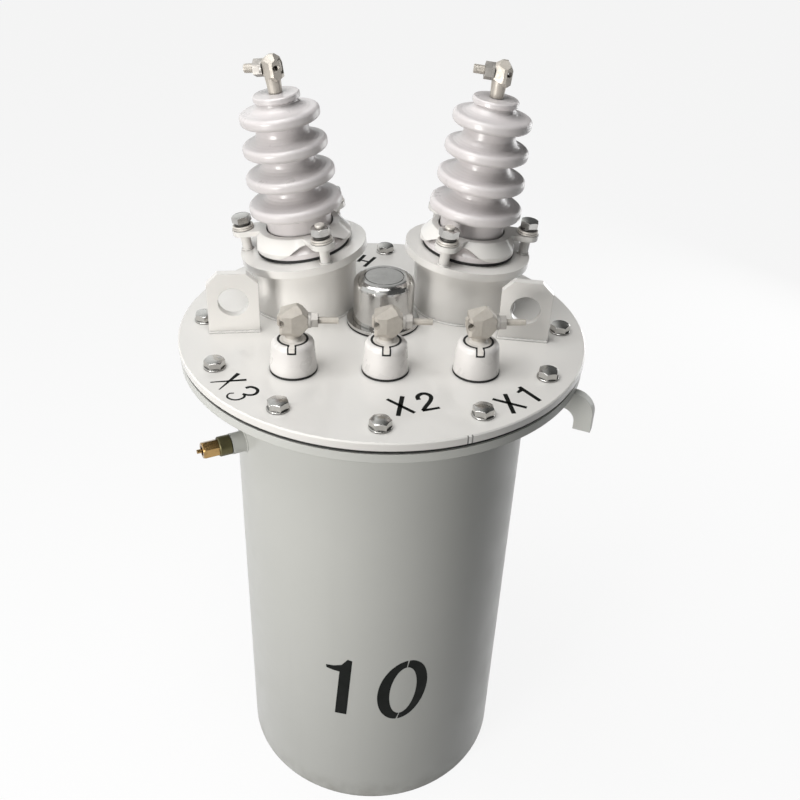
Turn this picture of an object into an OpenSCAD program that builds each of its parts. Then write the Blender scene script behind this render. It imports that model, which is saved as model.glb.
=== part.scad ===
// Pole mounted transformer: round tank, bolted cover, two leaning high-voltage bushings,
// three low-voltage bushings, lifting eyes and hooks, relief valve and pole brackets.
// Millimetres, +Z up, origin at the centre of the tank's foot, low-voltage side toward -Y.

/* [Tank] */
// Outer radius of the tank
tank_r = 149.5; // [140:0.5:160]
// Wall of the tank
tank_wall = 3; // [2:0.5:4]
// Height of the tank wall up to the top of the flange
tank_h = 542; // [500:1:600]
// How far the bottom plate sits up inside the foot
bottom_recess = 18; // [12:1:30]
// Thickness of the bottom plate
bottom_t = 4; // [3:0.5:6]
// How far the flange reaches out from the tank wall
rim_reach = 49.5; // [46:0.5:54]
// Thickness of the tank flange
flange_t = 9; // [7:0.5:11]
// How far the gasket's edge sits inside the flange's edge
gasket_inset = 2; // [1:0.25:4]
// Thickness of the gasket under the cover
gasket_t = 3; // [2:0.5:5]

/* [Cover] */
// How far the cover reaches past the flange
cover_lip = 1; // [0:0.25:3]
// Thickness of the cover
cover_t = 9; // [7:0.5:11]
// Bevel on the edges of the cover
cover_bevel = 1.2; // [0.5:0.1:2]
// Number of cover bolts
bolt_count = 12; // [10:2:14]
// Distance of the cover bolts from the cover's edge
bolt_inset = 23.5; // [20:0.5:26]
// Radius of the cover bolt holes
bolt_hole_r = 5.5; // [5:0.25:6.5]
// Place of the first cover bolt round the cover in degrees
bolt_angle = -92; // [-100:0.5:-84]

/* [High voltage bushings] */
// Gap between the left turret and the cap's flange
cap_left_gap = 3.2; // [2:0.1:6]
// Gap between the right turret and the cap's flange
cap_right_gap = 7.2; // [5:0.1:10]
// Distance of both turrets behind the cover's centre
hv_y = 54; // [52:0.5:57]
// Outward lean of the left bushing in degrees
hv_left_angle = 8.7; // [4:0.1:10]
// Outward lean of the right bushing in degrees
hv_right_angle = 5.8; // [4:0.1:10]
// Outer radius of the turret tube
turret_r = 53; // [50:0.5:55]
// Wall of the turret tube
turret_wall = 4; // [3:0.5:5]
// Height of the turret ring's top above the cover
turret_h = 62.6; // [56:0.2:70]
// How far the turret ring reaches past the tube
ring_reach = 10.2; // [9.6:0.2:12]
// Thickness of the turret ring
ring_t = 8; // [6:0.5:10]
// Distance of the clamp posts from the ring's edge
post_inset = 6; // [5.2:0.1:6.2]
// Radius of a clamp post
post_r = 5; // [4.5:0.1:5.1]
// Height of a clamp post above the ring
post_h = 16.5; // [16.25:0.25:18]
// Radius of the hole in a clamp post
post_bore_r = 3; // [2.5:0.1:3.8]
// Thickness of the gasket under the porcelain
hv_gasket_t = 3; // [2:0.5:4]
// Gap between the porcelain's foot and the clamp posts
foot_gap = 6.2; // [5:0.1:8]
// Width of the ring's seat under the porcelain's foot
hv_seat_w = 12; // [10:0.5:14]
// Height of the upright edge of the porcelain's foot
foot_edge_h = 5; // [4:0.25:6]
// Width of the sloped shoulder
shoulder_w = 10.5; // [9:0.25:12]
// Height of the sloped shoulder
shoulder_h = 8; // [6:0.5:10]
// Step from the shoulder in to the porcelain's neck
neck_step = 3.5; // [2.5:0.25:4.5]
// Step from the porcelain's neck in to its core between the sheds
core_step = 7; // [5:0.25:9]
// Gap round the porcelain's tail in the ring
tail_gap = 3; // [2:0.25:4]
// Length of the porcelain's tail below the ring's top
tail_h = 22; // [16:1:30]
// Height of the lowest shed's edge above the ring
shed_low_z = 44.2; // [42:0.2:48]
// Step from one shed to the next
shed_step = 28.64; // [27:0.1:30]
// How far the lowest shed reaches past the neck
shed_reach = 13.6; // [11:0.2:16]
// How much each shed is smaller than the one below
shed_shrink = 2.6; // [1.5:0.05:3]
// Thickness of a shed's edge
shed_edge = 11; // [9:0.25:12]
// Rounding of a shed's rim above and below
shed_round = 4; // [3:0.25:5]
// Rise of a shed's hollow top face from edge to core
shed_rise = 11; // [9:0.25:12]
// Rise of a shed's under face from edge to core
shed_under = 1.5; // [0.5:0.25:3]
// Number of sheds on a bushing
shed_count = 4; // [3:1:4]
// Radius of the porcelain's top disc
crown_r = 22; // [20.5:0.1:23]
// Height of the porcelain's top disc
crown_h = 6; // [5:0.25:8]
// Radius of the neck under the top disc
crown_neck_r = 19.2; // [18:0.1:20]
// Height of the top disc's foot above the top shed's edge
crown_gap = 14.1; // [12:0.1:16]
// Bevel on the edges of the top disc
crown_bevel = 1.2; // [0.6:0.1:1.8]

/* [Bushing clamps] */
// Height of the clamp's outer edge above the porcelain's shoulder
clamp_edge_h = 2; // [1.5:0.1:2.5]
// Width of the flat land round the clamp's bore
clamp_land_w = 6.5; // [5:0.25:7]
// Gap between the clamp and the porcelain's neck
clamp_gap = 1.5; // [1:0.1:2]
// How far the clamp's lip reaches past the porcelain's foot
clamp_lip_w = 3.5; // [2.5:0.1:4.5]
// How far the clamp's lip hangs down over the porcelain's foot
clamp_lip_h = 2.5; // [1.5:0.1:3.5]
// Radius of a clamp ear
ear_r = 11.5; // [10:0.25:12.5]
// Thickness of a clamp ear
ear_t = 5.5; // [4.5:0.25:6.5]
// Radius of the fillets that flare a clamp ear's arm into the ring
ear_fillet_r = 12; // [10:0.5:14]
// Radius of the hole in a clamp ear
ear_hole_r = 5; // [4:0.1:5.5]
// Width of the arch under a clamp ear, at the clamp's lower edge
arch_w = 84; // [76:1:90]
// Turn of the left clamp in degrees
clamp_left_angle = 175; // [150:1:200]
// Turn of the right clamp in degrees
clamp_right_angle = 0; // [-20:1:20]
// Number of clamp ears
ear_count = 3; // [2:1:3]

/* [High voltage terminals] */
// Radius of the terminal's stem at its foot
hv_stem_r = 6.3; // [5:0.1:6.8]
// Radius of the terminal's stem under its head
hv_stem_top_r = 7.4; // [7:0.1:8]
// Height of the terminal bolt's axis above the porcelain
hv_axis_h = 23; // [21:0.25:26]
// Rise of the head's ridge above the bolt's axis
hv_ridge_h = 11.4; // [10:0.1:12.5]
// Drop of the head's foot below the bolt's axis
hv_foot_h = 12.5; // [11:0.25:14]
// Width of the head
hv_head_w = 18; // [16:0.25:20]
// Width of the head at its conductor end
hv_tip_w = 6; // [5:0.25:8]
// Length of the head from the axis to its conductor end
hv_tip_l = 10.4; // [9.5:0.2:12]
// Rise of the head's conductor end above the bolt's axis
hv_tip_up = 3.5; // [2:0.25:5]
// Drop of the head's conductor end below the bolt's axis
hv_tip_down = 9.5; // [8:0.25:10.5]
// Length of the head's flat from the axis toward the conductor end
hv_flat_l = 5; // [4.25:0.25:7]
// Distance of the head's widest section from the axis, toward the nut
hv_crease_l = -2; // [-3.5:0.25:-1]
// Distance of the ridge's peak from the axis, toward the nut
hv_peak_l = -4.5; // [-5.5:0.25:-3.5]
// Height of the clamping strap above and below the bolt's axis
hv_strap_h = 6.4; // [5.5:0.1:7]
// Length of the clamping strap from the axis to its closed end
hv_strap_l = 9.6; // [9:0.1:10]
// Length of the head from the axis to the nut
hv_nut_l = 6.6; // [5.5:0.1:8]
// Radius of the terminal's bolt
hv_rod_r = 4; // [3.5:0.1:4.2]
// Length of the terminal's bolt from the axis to its end
hv_rod_l = 25.5; // [22:0.5:30]
// Radius of the terminal's nut over its corners
hv_nut_r = 8.2; // [7.5:0.1:9]
// Thickness of the terminal's nut
hv_nut_t = 6.4; // [5:0.2:8]
// Radius of the washer under the nut
hv_washer_r = 7.8; // [7:0.1:8.5]
// Thickness of the washer under the nut
hv_washer_t = 2.4; // [1.5:0.1:3]
// Radius of the conductor hole
hv_wire_r = 2.4; // [2:0.1:2.6]
// Distance of the conductor hole from the axis
hv_wire_l = 7.2; // [6.6:0.1:7.6]
// Turn of the left terminal in degrees
hv_left_terminal_angle = 164; // [140:1:200]
// Turn of the right terminal in degrees
hv_right_terminal_angle = 176; // [140:1:200]

/* [Low voltage bushings] */
// Distance of the outer low voltage bushings from the tank's side
lv_side_inset = 65.5; // [62:0.5:70]
// Distance of the low voltage row from the tank's front
lv_front_inset = 65.7; // [62:0.1:70]
// Radius of the insulator at its foot
lv_foot_r = 21.5; // [20.5:0.1:23]
// Radius of the insulator under its rounded shoulder
lv_top_r = 19.5; // [19:0.1:20.4]
// Height of the insulator above the cover
lv_h = 31.5; // [29:0.25:34]
// Rounding of the insulator's shoulder
lv_round = 5; // [3:0.25:5.5]
// Radius of the black gasket under the insulator
lv_gasket_r = 21.8; // [20.5:0.1:23]
// Thickness of the black gasket under the insulator
lv_gasket_t = 2.2; // [1.5:0.1:3]
// Radius of the insulator's tail through the cover
lv_tail_r = 13; // [11:0.25:13.5]
// Length of the insulator's tail below the cover's top
lv_tail_h = 30; // [20:1:40]
// Clearance round the insulator's tail in the cover
lv_hole_gap = 1; // [0.5:0.25:2]
// Radius of the recess in the insulator's top
lv_recess_r = 13.9; // [13:0.1:14.5]
// Depth of the recess in the insulator's top
lv_recess_h = 6; // [5:0.25:7]
// Gap between the terminal's disc and the recess
lv_disc_gap = 1.6; // [1.2:0.1:2]
// Height of the terminal's disc
lv_disc_h = 6; // [5:0.25:7]
// Radius of the cone between disc and stem
lv_cone_r = 9; // [8:0.25:10.5]
// Height of the cone between disc and stem
lv_cone_h = 1.8; // [1.2:0.2:3]
// Width of the key in the front of the insulator
lv_key_w = 5.2; // [4:0.1:6]
// Gap round the key
lv_key_gap = 1.2; // [0.8:0.1:1.6]
// Depth of the key below the insulator's top
lv_key_h = 5.6; // [5:0.1:7]
// Radius of the terminal's stem
lv_stem_r = 7; // [6:0.25:8]
// Height of the terminal bolt's axis above the cover
lv_axis_h = 50.6; // [48:0.2:54]
// Rise of the head's ridge above the bolt's axis
lv_ridge_h = 15.8; // [14:0.2:17]
// Drop of the head's foot below the bolt's axis
lv_foot_h = 14; // [12:0.25:15]
// Width of the head
lv_head_w = 20; // [18:0.25:22]
// Width of the head at its conductor end
lv_tip_w = 15; // [13:0.25:17]
// Length of the head from the axis to its conductor end
lv_tip_l = 11; // [10:0.2:12]
// Rise of the head's conductor end above the bolt's axis
lv_tip_up = 8; // [7:0.25:10]
// Drop of the head's conductor end below the bolt's axis
lv_tip_down = 11; // [9:0.25:12]
// Length of the head's flat from the axis toward the conductor end
lv_flat_l = 8.6; // [7:0.2:9]
// Distance of the head's widest section from the axis, toward the nut
lv_crease_l = 0; // [-1:0.25:1]
// Distance of the ridge's peak from the axis, toward the nut
lv_peak_l = 3.5; // [2.5:0.25:4.5]
// Height of the clamping strap above and below the bolt's axis
lv_strap_h = 5.8; // [5.2:0.1:6.5]
// Length of the clamping strap from the axis to its closed end
lv_strap_l = 13.2; // [12.4:0.1:14]
// Length of the head from the axis to the nut
lv_nut_l = 14.3; // [13:0.1:16]
// Radius of the terminal's bolt
lv_rod_r = 2.9; // [2.6:0.1:3.4]
// Length of the terminal's bolt from the axis to its end
lv_rod_l = 41.2; // [38:0.2:46]
// Radius of the terminal's nut over its corners
lv_nut_r = 7.1; // [6.4:0.1:7.8]
// Thickness of the terminal's nut
lv_nut_t = 6.2; // [5:0.2:7.4]
// Radius of the washer under the nut
lv_washer_r = 7; // [6.4:0.1:7.6]
// Thickness of the washer under the nut
lv_washer_t = 2.4; // [1.8:0.1:3]
// Radius of the conductor hole
lv_wire_r = 4.2; // [3.6:0.1:4.8]
// Distance of the conductor hole from the axis
lv_wire_l = 10.4; // [9.6:0.2:11]
// Turn of terminal X1 in degrees
lv_x1_angle = 3; // [-10:1:10]
// Turn of terminal X2 in degrees
lv_x2_angle = 0; // [-10:1:10]
// Turn of terminal X3 in degrees
lv_x3_angle = 0; // [-10:1:10]

/* [Cap on the cover] */
// Radius of the cap
cap_r = 30; // [28:0.25:32]
// Radius of the cap's flange
cap_flange_r = 36; // [34:0.25:38]
// Thickness of the cap's flange
cap_flange_t = 3; // [2:0.25:4]
// Height of the cap above the cover
cap_h = 50; // [46:0.5:54]
// Rounding of the cap's rim
cap_round = 8; // [6:0.25:10]
// Thickness of the cap's skin
cap_skin = 2; // [1.5:0.1:3]
// Thickness of the gasket under the cap
cap_gasket_t = 2; // [1.5:0.25:3]
// Distance of the cap behind the cover's centre
cap_y = 9; // [7:0.5:11]
// Radius of the ring groove in the cap's top
cap_ring_r = 19.5; // [17:0.25:21]
// Width and depth of the ring groove in the cap's top
cap_ring_w = 0.9; // [0.5:0.1:1.2]

/* [Lifting eyes on the cover] */
// Distance of the left eye plate's middle from the cover's edge
eye_left_inset = 54.5; // [52:0.5:58]
// Distance of the right eye plate's middle from the cover's edge
eye_right_inset = 62; // [59:0.5:64]
// Width of an eye plate
eye_w = 49; // [45:0.5:52]
// Height of an eye plate
eye_h = 62; // [58:0.5:68]
// Thickness of an eye plate
eye_t = 8; // [6:0.5:10]
// Bevel of an eye plate's top corners
eye_bevel = 11; // [8:0.5:14]
// Radius of the hole in an eye plate
eye_hole_r = 14.5; // [12:0.25:16]
// Height of the hole above the cover
eye_hole_z = 32.5; // [30:0.5:36]
// Swing of the left eye plate toward the front in degrees
eye_left_angle = 5.5; // [3:0.5:10]
// Swing of the right eye plate toward the front in degrees
eye_right_angle = 9; // [6:0.5:12]

/* [Lifting hooks on the tank] */
// Thickness of a hook plate
hook_t = 9; // [7:0.5:11]
// Outer radius of the hook's bend
hook_r = 20.5; // [18.5:0.25:22.5]
// Radius of the hook's throat
throat_r = 13; // [11:0.25:15]
// Distance of the bend's centre from the tank wall
hook_reach = 49.5; // [48:0.5:51]
// Distance of the throat's centre from the tank wall
throat_reach = 40; // [38:0.5:42]
// Height of the throat's centre under the flange
throat_drop = 31.5; // [29:0.5:34]
// Length of the hook's nose below the flange
hook_nose_drop = 39; // [36:0.5:44]
// Length of the hook's root below the flange
hook_root_drop = 41; // [38:0.5:43]
// Swing of the hooks toward the front in degrees
hook_angle = 25; // [20:0.5:30]

/* [Relief valve] */
// Depth of the valve below the flange's top
valve_drop = 87; // [80:1:100]
// Angle of the valve round the tank in degrees
valve_angle = -156; // [-165:0.5:-150]
// Radius of the welded pipe stub
stub_r = 10.6; // [10:0.1:12]
// Length of the pipe stub from the tank wall
stub_l = 14; // [12:0.5:18]
// Radius of the valve's collar
collar_r = 10; // [9:0.1:10.5]
// Length of the valve's collar
collar_l = 13; // [11:0.5:16]
// Bevel on the edges of the valve's collar
collar_bevel = 1; // [0.5:0.1:1.5]
// Radius of the valve's six-sided body over its corners
hex_r = 9; // [8:0.1:9.6]
// Length of the valve's six-sided body
hex_l = 16; // [14:0.5:19]
// Bevel on the corners of the valve's six-sided body
hex_bevel = 1.6; // [1:0.1:2.2]
// Radius of the socket in the valve's end
socket_r = 5; // [4:0.1:6]
// Depth of the socket in the valve's end
socket_h = 4; // [3:0.25:6]
// Radius of the valve's pull pin
pin_r = 2; // [1.5:0.1:2.5]
// Length of the valve's pull pin
pin_l = 5; // [3:0.5:8]

/* [Pole brackets at the back] */
// Depth of the upper bracket's middle below the flange's top
bracket_drop = 118; // [110:1:140]
// Step between the two brackets
bracket_step = 298.5; // [280:0.5:310]
// Width of a bracket
bracket_w = 90; // [80:1:100]
// Height of a bracket
bracket_h = 64; // [56:1:72]
// Thickness of a bracket's plate
bracket_t = 6; // [5:0.5:8]
// Distance of the bracket's face from the tank wall
bracket_reach = 36.5; // [32:0.5:42]
// Radius of a bracket's bolt hole
bracket_hole_r = 9; // [8:0.25:11]

/* [Hidden] */
$fn = 96;
cover_z = tank_h + gasket_t;
cover_top = cover_z + cover_t;
flange_z = tank_h - flange_t;
tank_in_r = tank_r - tank_wall;
flange_r = tank_r + rim_reach;
gasket_r = flange_r - gasket_inset;
cover_r = flange_r + cover_lip;
bolt_circle_r = cover_r - bolt_inset;
turret_in_r = turret_r - turret_wall;
ring_r = turret_r + ring_reach;
post_circle_r = ring_r - post_inset;
foot_r = post_circle_r - post_r - foot_gap;
shoulder_r = foot_r - shoulder_w;
neck_r = shoulder_r - neck_step;
core_r = neck_r - core_step;
shed_low_r = neck_r + shed_reach;
ring_bore_r = foot_r - hv_seat_w;
tail_r = ring_bore_r - tail_gap;
hv_left_x = sqrt(pow(turret_r + cap_flange_r + cap_left_gap, 2) - pow(hv_y - cap_y, 2));
hv_right_x = sqrt(pow(turret_r + cap_flange_r + cap_right_gap, 2) - pow(hv_y - cap_y, 2));
shoulder_z = hv_gasket_t + foot_edge_h;
neck_z = shoulder_z + shoulder_h;
clamp_bore_r = neck_r + clamp_gap;
clamp_r = foot_r + clamp_lip_w;
ear_z = post_h + ear_t;
clamp_land_r = clamp_bore_r + clamp_land_w;
ear_root_x = sqrt(pow(clamp_land_r, 2) - pow(ear_r + ear_fillet_r, 2));
crown_z = shed_low_z + shed_step * (shed_count - 1) + crown_gap;
crown_top = crown_z + crown_h;
lv_step = tank_r - lv_side_inset;
lv_y = tank_r - lv_front_inset;
lv_hole_r = lv_tail_r + lv_hole_gap;
lv_floor = lv_h - lv_recess_h;
lv_disc_r = lv_recess_r - lv_disc_gap;
cap_bore_r = cap_r - cap_round;
eye_left_r = cover_r - eye_left_inset;
eye_right_r = cover_r - eye_right_inset;
hook_mid_r = tank_r + hook_reach;
throat_mid_r = tank_r + throat_reach;
valve_z = tank_h - valve_drop;
bracket_top_z = tank_h - bracket_drop;
bracket_face_y = tank_r + bracket_reach;
// Shares of a terminal head's own sizes
ridge_w_share = 0.22;
foot_w_share = 0.6;
crease_up_share = 0.42;
crease_down_share = 0.6;
neck_w_share = 0.6;
dome_share = 1.06;
dome_mid_share = 0.6;
slot_l_share = 0.36;
slot_w_share = 0.32;
strap_w_share = 0.3;
strap_t_share = 0.36;
stem_in_share = 1.08;
paint = [0.8, 0.8, 0.78];
black = [0.08, 0.08, 0.08];
glaze = [0.8, 0.77, 0.77];
tin = [0.72, 0.7, 0.66];
steel = [0.7, 0.7, 0.7];
brass = [0.7, 0.55, 0.25];

// Ring between two radii
module tube(r_out, r_in, h) {
  difference() {
    cylinder(r = r_out, h = h);
    translate([0, 0, -h])
      cylinder(r = r_in, h = 3 * h);
  }
}

// Cylinders standing on the cover's bolt circle
module cover_bolt_holes(h) {
  for (i = [0 : bolt_count - 1])
    rotate([0, 0, bolt_angle + i * 360 / bolt_count])
      translate([bolt_circle_r, 0, -h])
        cylinder(r = bolt_hole_r, h = 3 * h, $fn = 48);
}

module tank_shell() {
  color(paint) tube(tank_r, tank_in_r, tank_h);
}

module tank_bottom() {
  color(paint) translate([0, 0, bottom_recess])
    cylinder(r = tank_in_r, h = bottom_t);
}

module tank_flange() {
  color(paint) translate([0, 0, flange_z])
    difference() {
      tube(flange_r, tank_r, flange_t);
      cover_bolt_holes(flange_t);
    }
}

module cover_gasket() {
  color(black) translate([0, 0, tank_h])
    difference() {
      tube(gasket_r, tank_r, gasket_t);
      cover_bolt_holes(gasket_t);
    }
}

// Disc with bevelled edges
module cover_disc() {
  rotate_extrude()
    polygon([[0, 0], [cover_r - cover_bevel, 0], [cover_r, cover_bevel],
      [cover_r, cover_t - cover_bevel], [cover_r - cover_bevel, cover_t], [0, cover_t]]);
}

module cover_plate() {
  color(paint) translate([0, 0, cover_z])
    difference() {
      cover_disc();
      cover_bolt_holes(cover_t);
      for (side = [-1, 1])
        translate([side < 0 ? -hv_left_x : hv_right_x, hv_y, -cover_t])
          cylinder(r = turret_in_r, h = 3 * cover_t);
      for (i = [-1 : 1])
        translate([i * lv_step, -lv_y, -cover_t])
          cylinder(r = lv_hole_r, h = 3 * cover_t);
      translate([0, cap_y, -cover_t])
        cylinder(r = cap_bore_r, h = 3 * cover_t);
    }
}

// Moves its children into the leaning frame of a high voltage bushing, on its ring's top
module hv_frame(side) {
  translate([side < 0 ? -hv_left_x : hv_right_x, hv_y, cover_top + turret_h])
    rotate([0, side < 0 ? -hv_left_angle : hv_right_angle, 0])
      children();
}

// Places its children at the ears of a clamp
module at_ears(side) {
  for (i = [0 : ear_count - 1])
    rotate([0, 0, (side < 0 ? clamp_left_angle : clamp_right_angle) + i * 360 / ear_count])
      translate([post_circle_r, 0, 0])
        children();
}

// Upright tube cut at the lean of the ring it carries, with posts let into the ring
module turret(side) {
  difference() {
    translate([side < 0 ? -hv_left_x : hv_right_x, hv_y, cover_top])
      tube(turret_r, turret_in_r, 2 * turret_h);
    hv_frame(side)
      translate([-2 * turret_r, -2 * turret_r, -ring_t / 2])
        cube([4 * turret_r, 4 * turret_r, 4 * turret_h]);
  }
  hv_frame(side) {
    translate([0, 0, -ring_t])
      tube(ring_r, ring_bore_r, ring_t);
    at_ears(side)
      translate([0, 0, -ring_t / 2])
        tube(post_r, post_bore_r, post_h + ring_t / 2);
  }
}

module hv_turret_left() {
  color(paint) turret(-1);
}

module hv_turret_right() {
  color(paint) turret(1);
}

module hv_gaskets() {
  color(black) for (side = [-1, 1])
    hv_frame(side)
      tube(foot_r, ring_bore_r, hv_gasket_t);
}

// Outline of one shed, bottom to top: rounded rim, then a hollow top face up to the core
function shed_points(i) =
  let (z = shed_low_z + i * shed_step, e = shed_edge / 2,
    rim_r = shed_low_r - i * shed_shrink - shed_round,
    is_top = i == shed_count - 1,
    root_r = i == 0 ? neck_r : core_r,
    top_r = is_top ? crown_neck_r : core_r,
    rise = is_top ? crown_gap - e : shed_rise)
  concat([[root_r, z - e + shed_under]],
    [for (a = [-90 : 15 : 0]) [rim_r + shed_round * cos(a), z - e + shed_round * (1 + sin(a))]],
    [for (a = [0 : 15 : 90]) [rim_r + shed_round * cos(a), z + e - shed_round * (1 - sin(a))]],
    [for (a = [15 : 15 : 90]) [rim_r - (rim_r - top_r) * sin(a), z + e + rise * (1 - cos(a))]]);

// Outline of the porcelain from its tail to its top disc
function porcelain_points() =
  concat([[0, -tail_h], [tail_r, -tail_h], [tail_r, hv_gasket_t], [foot_r, hv_gasket_t],
      [foot_r, shoulder_z], [shoulder_r, neck_z], [neck_r, neck_z]],
    [for (i = [0 : shed_count - 1]) each shed_points(i)],
    [[crown_r - crown_bevel, crown_z], [crown_r, crown_z + crown_bevel],
      [crown_r, crown_top - crown_bevel], [crown_r - crown_bevel, crown_top], [0, crown_top]]);

module hv_insulator(side) {
  hv_frame(side)
    rotate_extrude()
      polygon(porcelain_points());
}

module hv_insulator_left() {
  color(glaze) hv_insulator(-1);
}

module hv_insulator_right() {
  color(glaze) hv_insulator(1);
}

// Sloped ring lying on the porcelain's shoulder and hanging over its edge
module clamp_ring() {
  rotate_extrude()
    polygon([[foot_r, shoulder_z - clamp_lip_h], [clamp_r, shoulder_z - clamp_lip_h],
      [clamp_r, shoulder_z + clamp_edge_h], [clamp_land_r, ear_z],
      [clamp_bore_r, ear_z], [clamp_bore_r, neck_z], [shoulder_r, neck_z],
      [foot_r, shoulder_z]]);
}

// One side of the arch below an ear: a smooth wave from the clamp's lower edge up to the ear
function arch_side(side) =
  let (low_z = shoulder_z - clamp_lip_h)
  [for (a = [0 : 15 : 180]) [low_z + (post_h - low_z) * (1 - cos(a)) / 2,
    side * (arch_w / 2 + (ear_r - arch_w / 2) * a / 180)]];

// Arch cut out of the sloped ring below an ear
module clamp_arch() {
  right = arch_side(1);
  translate([post_circle_r, 0, 0])
    rotate([0, -90, 0])
      linear_extrude(post_circle_r)
        polygon(concat([[0, -arch_w / 2]], arch_side(-1),
          [for (i = [len(right) - 1 : -1 : 0]) right[i]], [[0, arch_w / 2]]));
}

// One ear on top of its post, its arm flaring into the ring
module clamp_ear() {
  translate([0, 0, post_h])
    linear_extrude(ear_t)
      difference() {
        union() {
          translate([post_circle_r, 0])
            circle(r = ear_r);
          translate([ear_root_x, -ear_r])
            square([post_circle_r - ear_root_x, 2 * ear_r]);
          difference() {
            translate([0, -ear_r - ear_fillet_r])
              square([ear_root_x + ear_fillet_r, 2 * (ear_r + ear_fillet_r)]);
            for (side = [-1, 1])
              translate([ear_root_x + ear_fillet_r, side * (ear_r + ear_fillet_r)])
                circle(r = ear_fillet_r);
          }
        }
        translate([post_circle_r, 0])
          circle(r = ear_hole_r);
        circle(r = clamp_bore_r);
      }
}

// Cast clamp: sloped ring with arches, and ears that reach over the posts
module hv_clamp(side) {
  hv_frame(side)
    difference() {
      union() {
        difference() {
          clamp_ring();
          for (i = [0 : ear_count - 1])
            rotate([0, 0, (side < 0 ? clamp_left_angle : clamp_right_angle) + i * 360 / ear_count])
              clamp_arch();
        }
        for (i = [0 : ear_count - 1])
          rotate([0, 0, (side < 0 ? clamp_left_angle : clamp_right_angle) + i * 360 / ear_count])
            clamp_ear();
      }
      translate([0, 0, neck_z])
        cylinder(r = clamp_bore_r, h = 2 * ear_t);
    }
}

module hv_clamp_left() {
  color(paint) hv_clamp(-1);
}

module hv_clamp_right() {
  color(paint) hv_clamp(1);
}

// Faceted clamping head round a bolt axis along +X: widest at its crease, with a ridge roof and
// a wedge toward the conductor end and a turned dome toward the nut end, a slot for the strap,
// and holes for bolt and conductor
module terminal_head(w, up, down, tip_w, tip_l, tip_up, tip_down, flat_l, crease_l, peak_l,
    nut_l, strap_h, rod_r, wire_r, wire_l, end_r) {
  reach = max(up, down) * dome_share;
  difference() {
    intersection() {
      translate([-tip_l, 0, 0])
        rotate([90, 0, 90])
          linear_extrude(tip_l + nut_l)
            polygon([[-w * foot_w_share / 2, -down], [w * foot_w_share / 2, -down],
              [w / 2, -down * crease_down_share], [w / 2, up * crease_up_share],
              [w * ridge_w_share / 2, up], [-w * ridge_w_share / 2, up],
              [-w / 2, up * crease_up_share], [-w / 2, -down * crease_down_share]]);
      translate([0, 0, -2 * down])
        linear_extrude(4 * up)
          polygon([[-tip_l, -tip_w / 2], [-flat_l, -w / 2], [crease_l, -w / 2],
            [nut_l, -w * neck_w_share / 2], [nut_l, w * neck_w_share / 2],
            [crease_l, w / 2], [-flat_l, w / 2], [-tip_l, tip_w / 2]]);
      translate([0, w, 0])
        rotate([90, 0, 0])
          linear_extrude(2 * w)
            polygon([[-tip_l, -tip_down], [peak_l, -down], [nut_l, -down], [nut_l, up],
              [peak_l, up], [-tip_l, tip_up]]);
      rotate([0, 90, 0])
        rotate_extrude()
          polygon([[0, -tip_l], [reach, -tip_l], [reach, peak_l],
            [end_r + (reach - end_r) * dome_mid_share, (peak_l + nut_l) / 2],
            [end_r, nut_l], [0, nut_l]]);
    }
    translate([-2 * tip_l, -w * slot_w_share / 2, -strap_h])
      cube([2 * tip_l + nut_l * slot_l_share, w * slot_w_share, 2 * strap_h]);
    translate([-wire_l, w, 0])
      rotate([90, 0, 0])
        cylinder(r = wire_r, h = 2 * w, $fn = 48);
    rotate([0, 90, 0])
      cylinder(r = rod_r, h = 2 * nut_l, $fn = 48);
  }
}

// Strap and bolt along +X, the strap lying in the head's slot
module eyebolt(w, strap_h, strap_l, nut_l, rod_r, rod_l) {
  thick = w * strap_w_share;
  wall = strap_h * strap_t_share;
  inner = nut_l * slot_l_share;
  translate([0, thick / 2, 0])
    rotate([90, 0, 0])
      linear_extrude(thick)
        difference() {
          polygon([[-strap_l, wall - strap_h], [wall - strap_l, -strap_h], [inner, -strap_h],
            [inner, strap_h], [wall - strap_l, strap_h], [-strap_l, strap_h - wall]]);
          translate([wall - strap_l, wall - strap_h])
            square([strap_l - 2 * wall + inner, 2 * (strap_h - wall)]);
        }
  translate([inner - wall, 0, 0])
    rotate([0, 90, 0])
      cylinder(r = rod_r, h = rod_l - inner + wall, $fn = 48);
}

// Washer and six-sided nut on the bolt, against the head's end
module nut(nut_l, rod_r, nut_r, nut_t, washer_r, washer_t) {
  translate([nut_l, 0, 0])
    rotate([0, 90, 0])
      difference() {
        union() {
          cylinder(r = washer_r, h = washer_t, $fn = 48);
          cylinder(r = nut_r, h = washer_t + nut_t, $fn = 6);
        }
        translate([0, 0, -nut_l])
          cylinder(r = rod_r, h = 3 * nut_l, $fn = 48);
      }
}

// Frame of a high voltage terminal: origin on its bolt's axis, bolt along +X
module hv_terminal_frame(side) {
  hv_frame(side)
    translate([0, 0, crown_top + hv_axis_h])
      rotate([0, 0, side < 0 ? hv_left_terminal_angle : hv_right_terminal_angle])
        children();
}

module hv_terminal(side) {
  hv_frame(side)
    translate([0, 0, crown_top])
      cylinder(r1 = hv_stem_r, r2 = hv_stem_top_r, h = hv_axis_h - hv_strap_h * stem_in_share);
  hv_terminal_frame(side)
    terminal_head(hv_head_w, hv_ridge_h, hv_foot_h, hv_tip_w, hv_tip_l, hv_tip_up, hv_tip_down,
      hv_flat_l, hv_crease_l, hv_peak_l, hv_nut_l, hv_strap_h, hv_rod_r, hv_wire_r, hv_wire_l,
      hv_washer_r);
}

module hv_terminal_left() {
  color(tin) hv_terminal(-1);
}

module hv_terminal_right() {
  color(tin) hv_terminal(1);
}

module hv_eyebolt(side) {
  hv_terminal_frame(side)
    eyebolt(hv_head_w, hv_strap_h, hv_strap_l, hv_nut_l, hv_rod_r, hv_rod_l);
}

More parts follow.
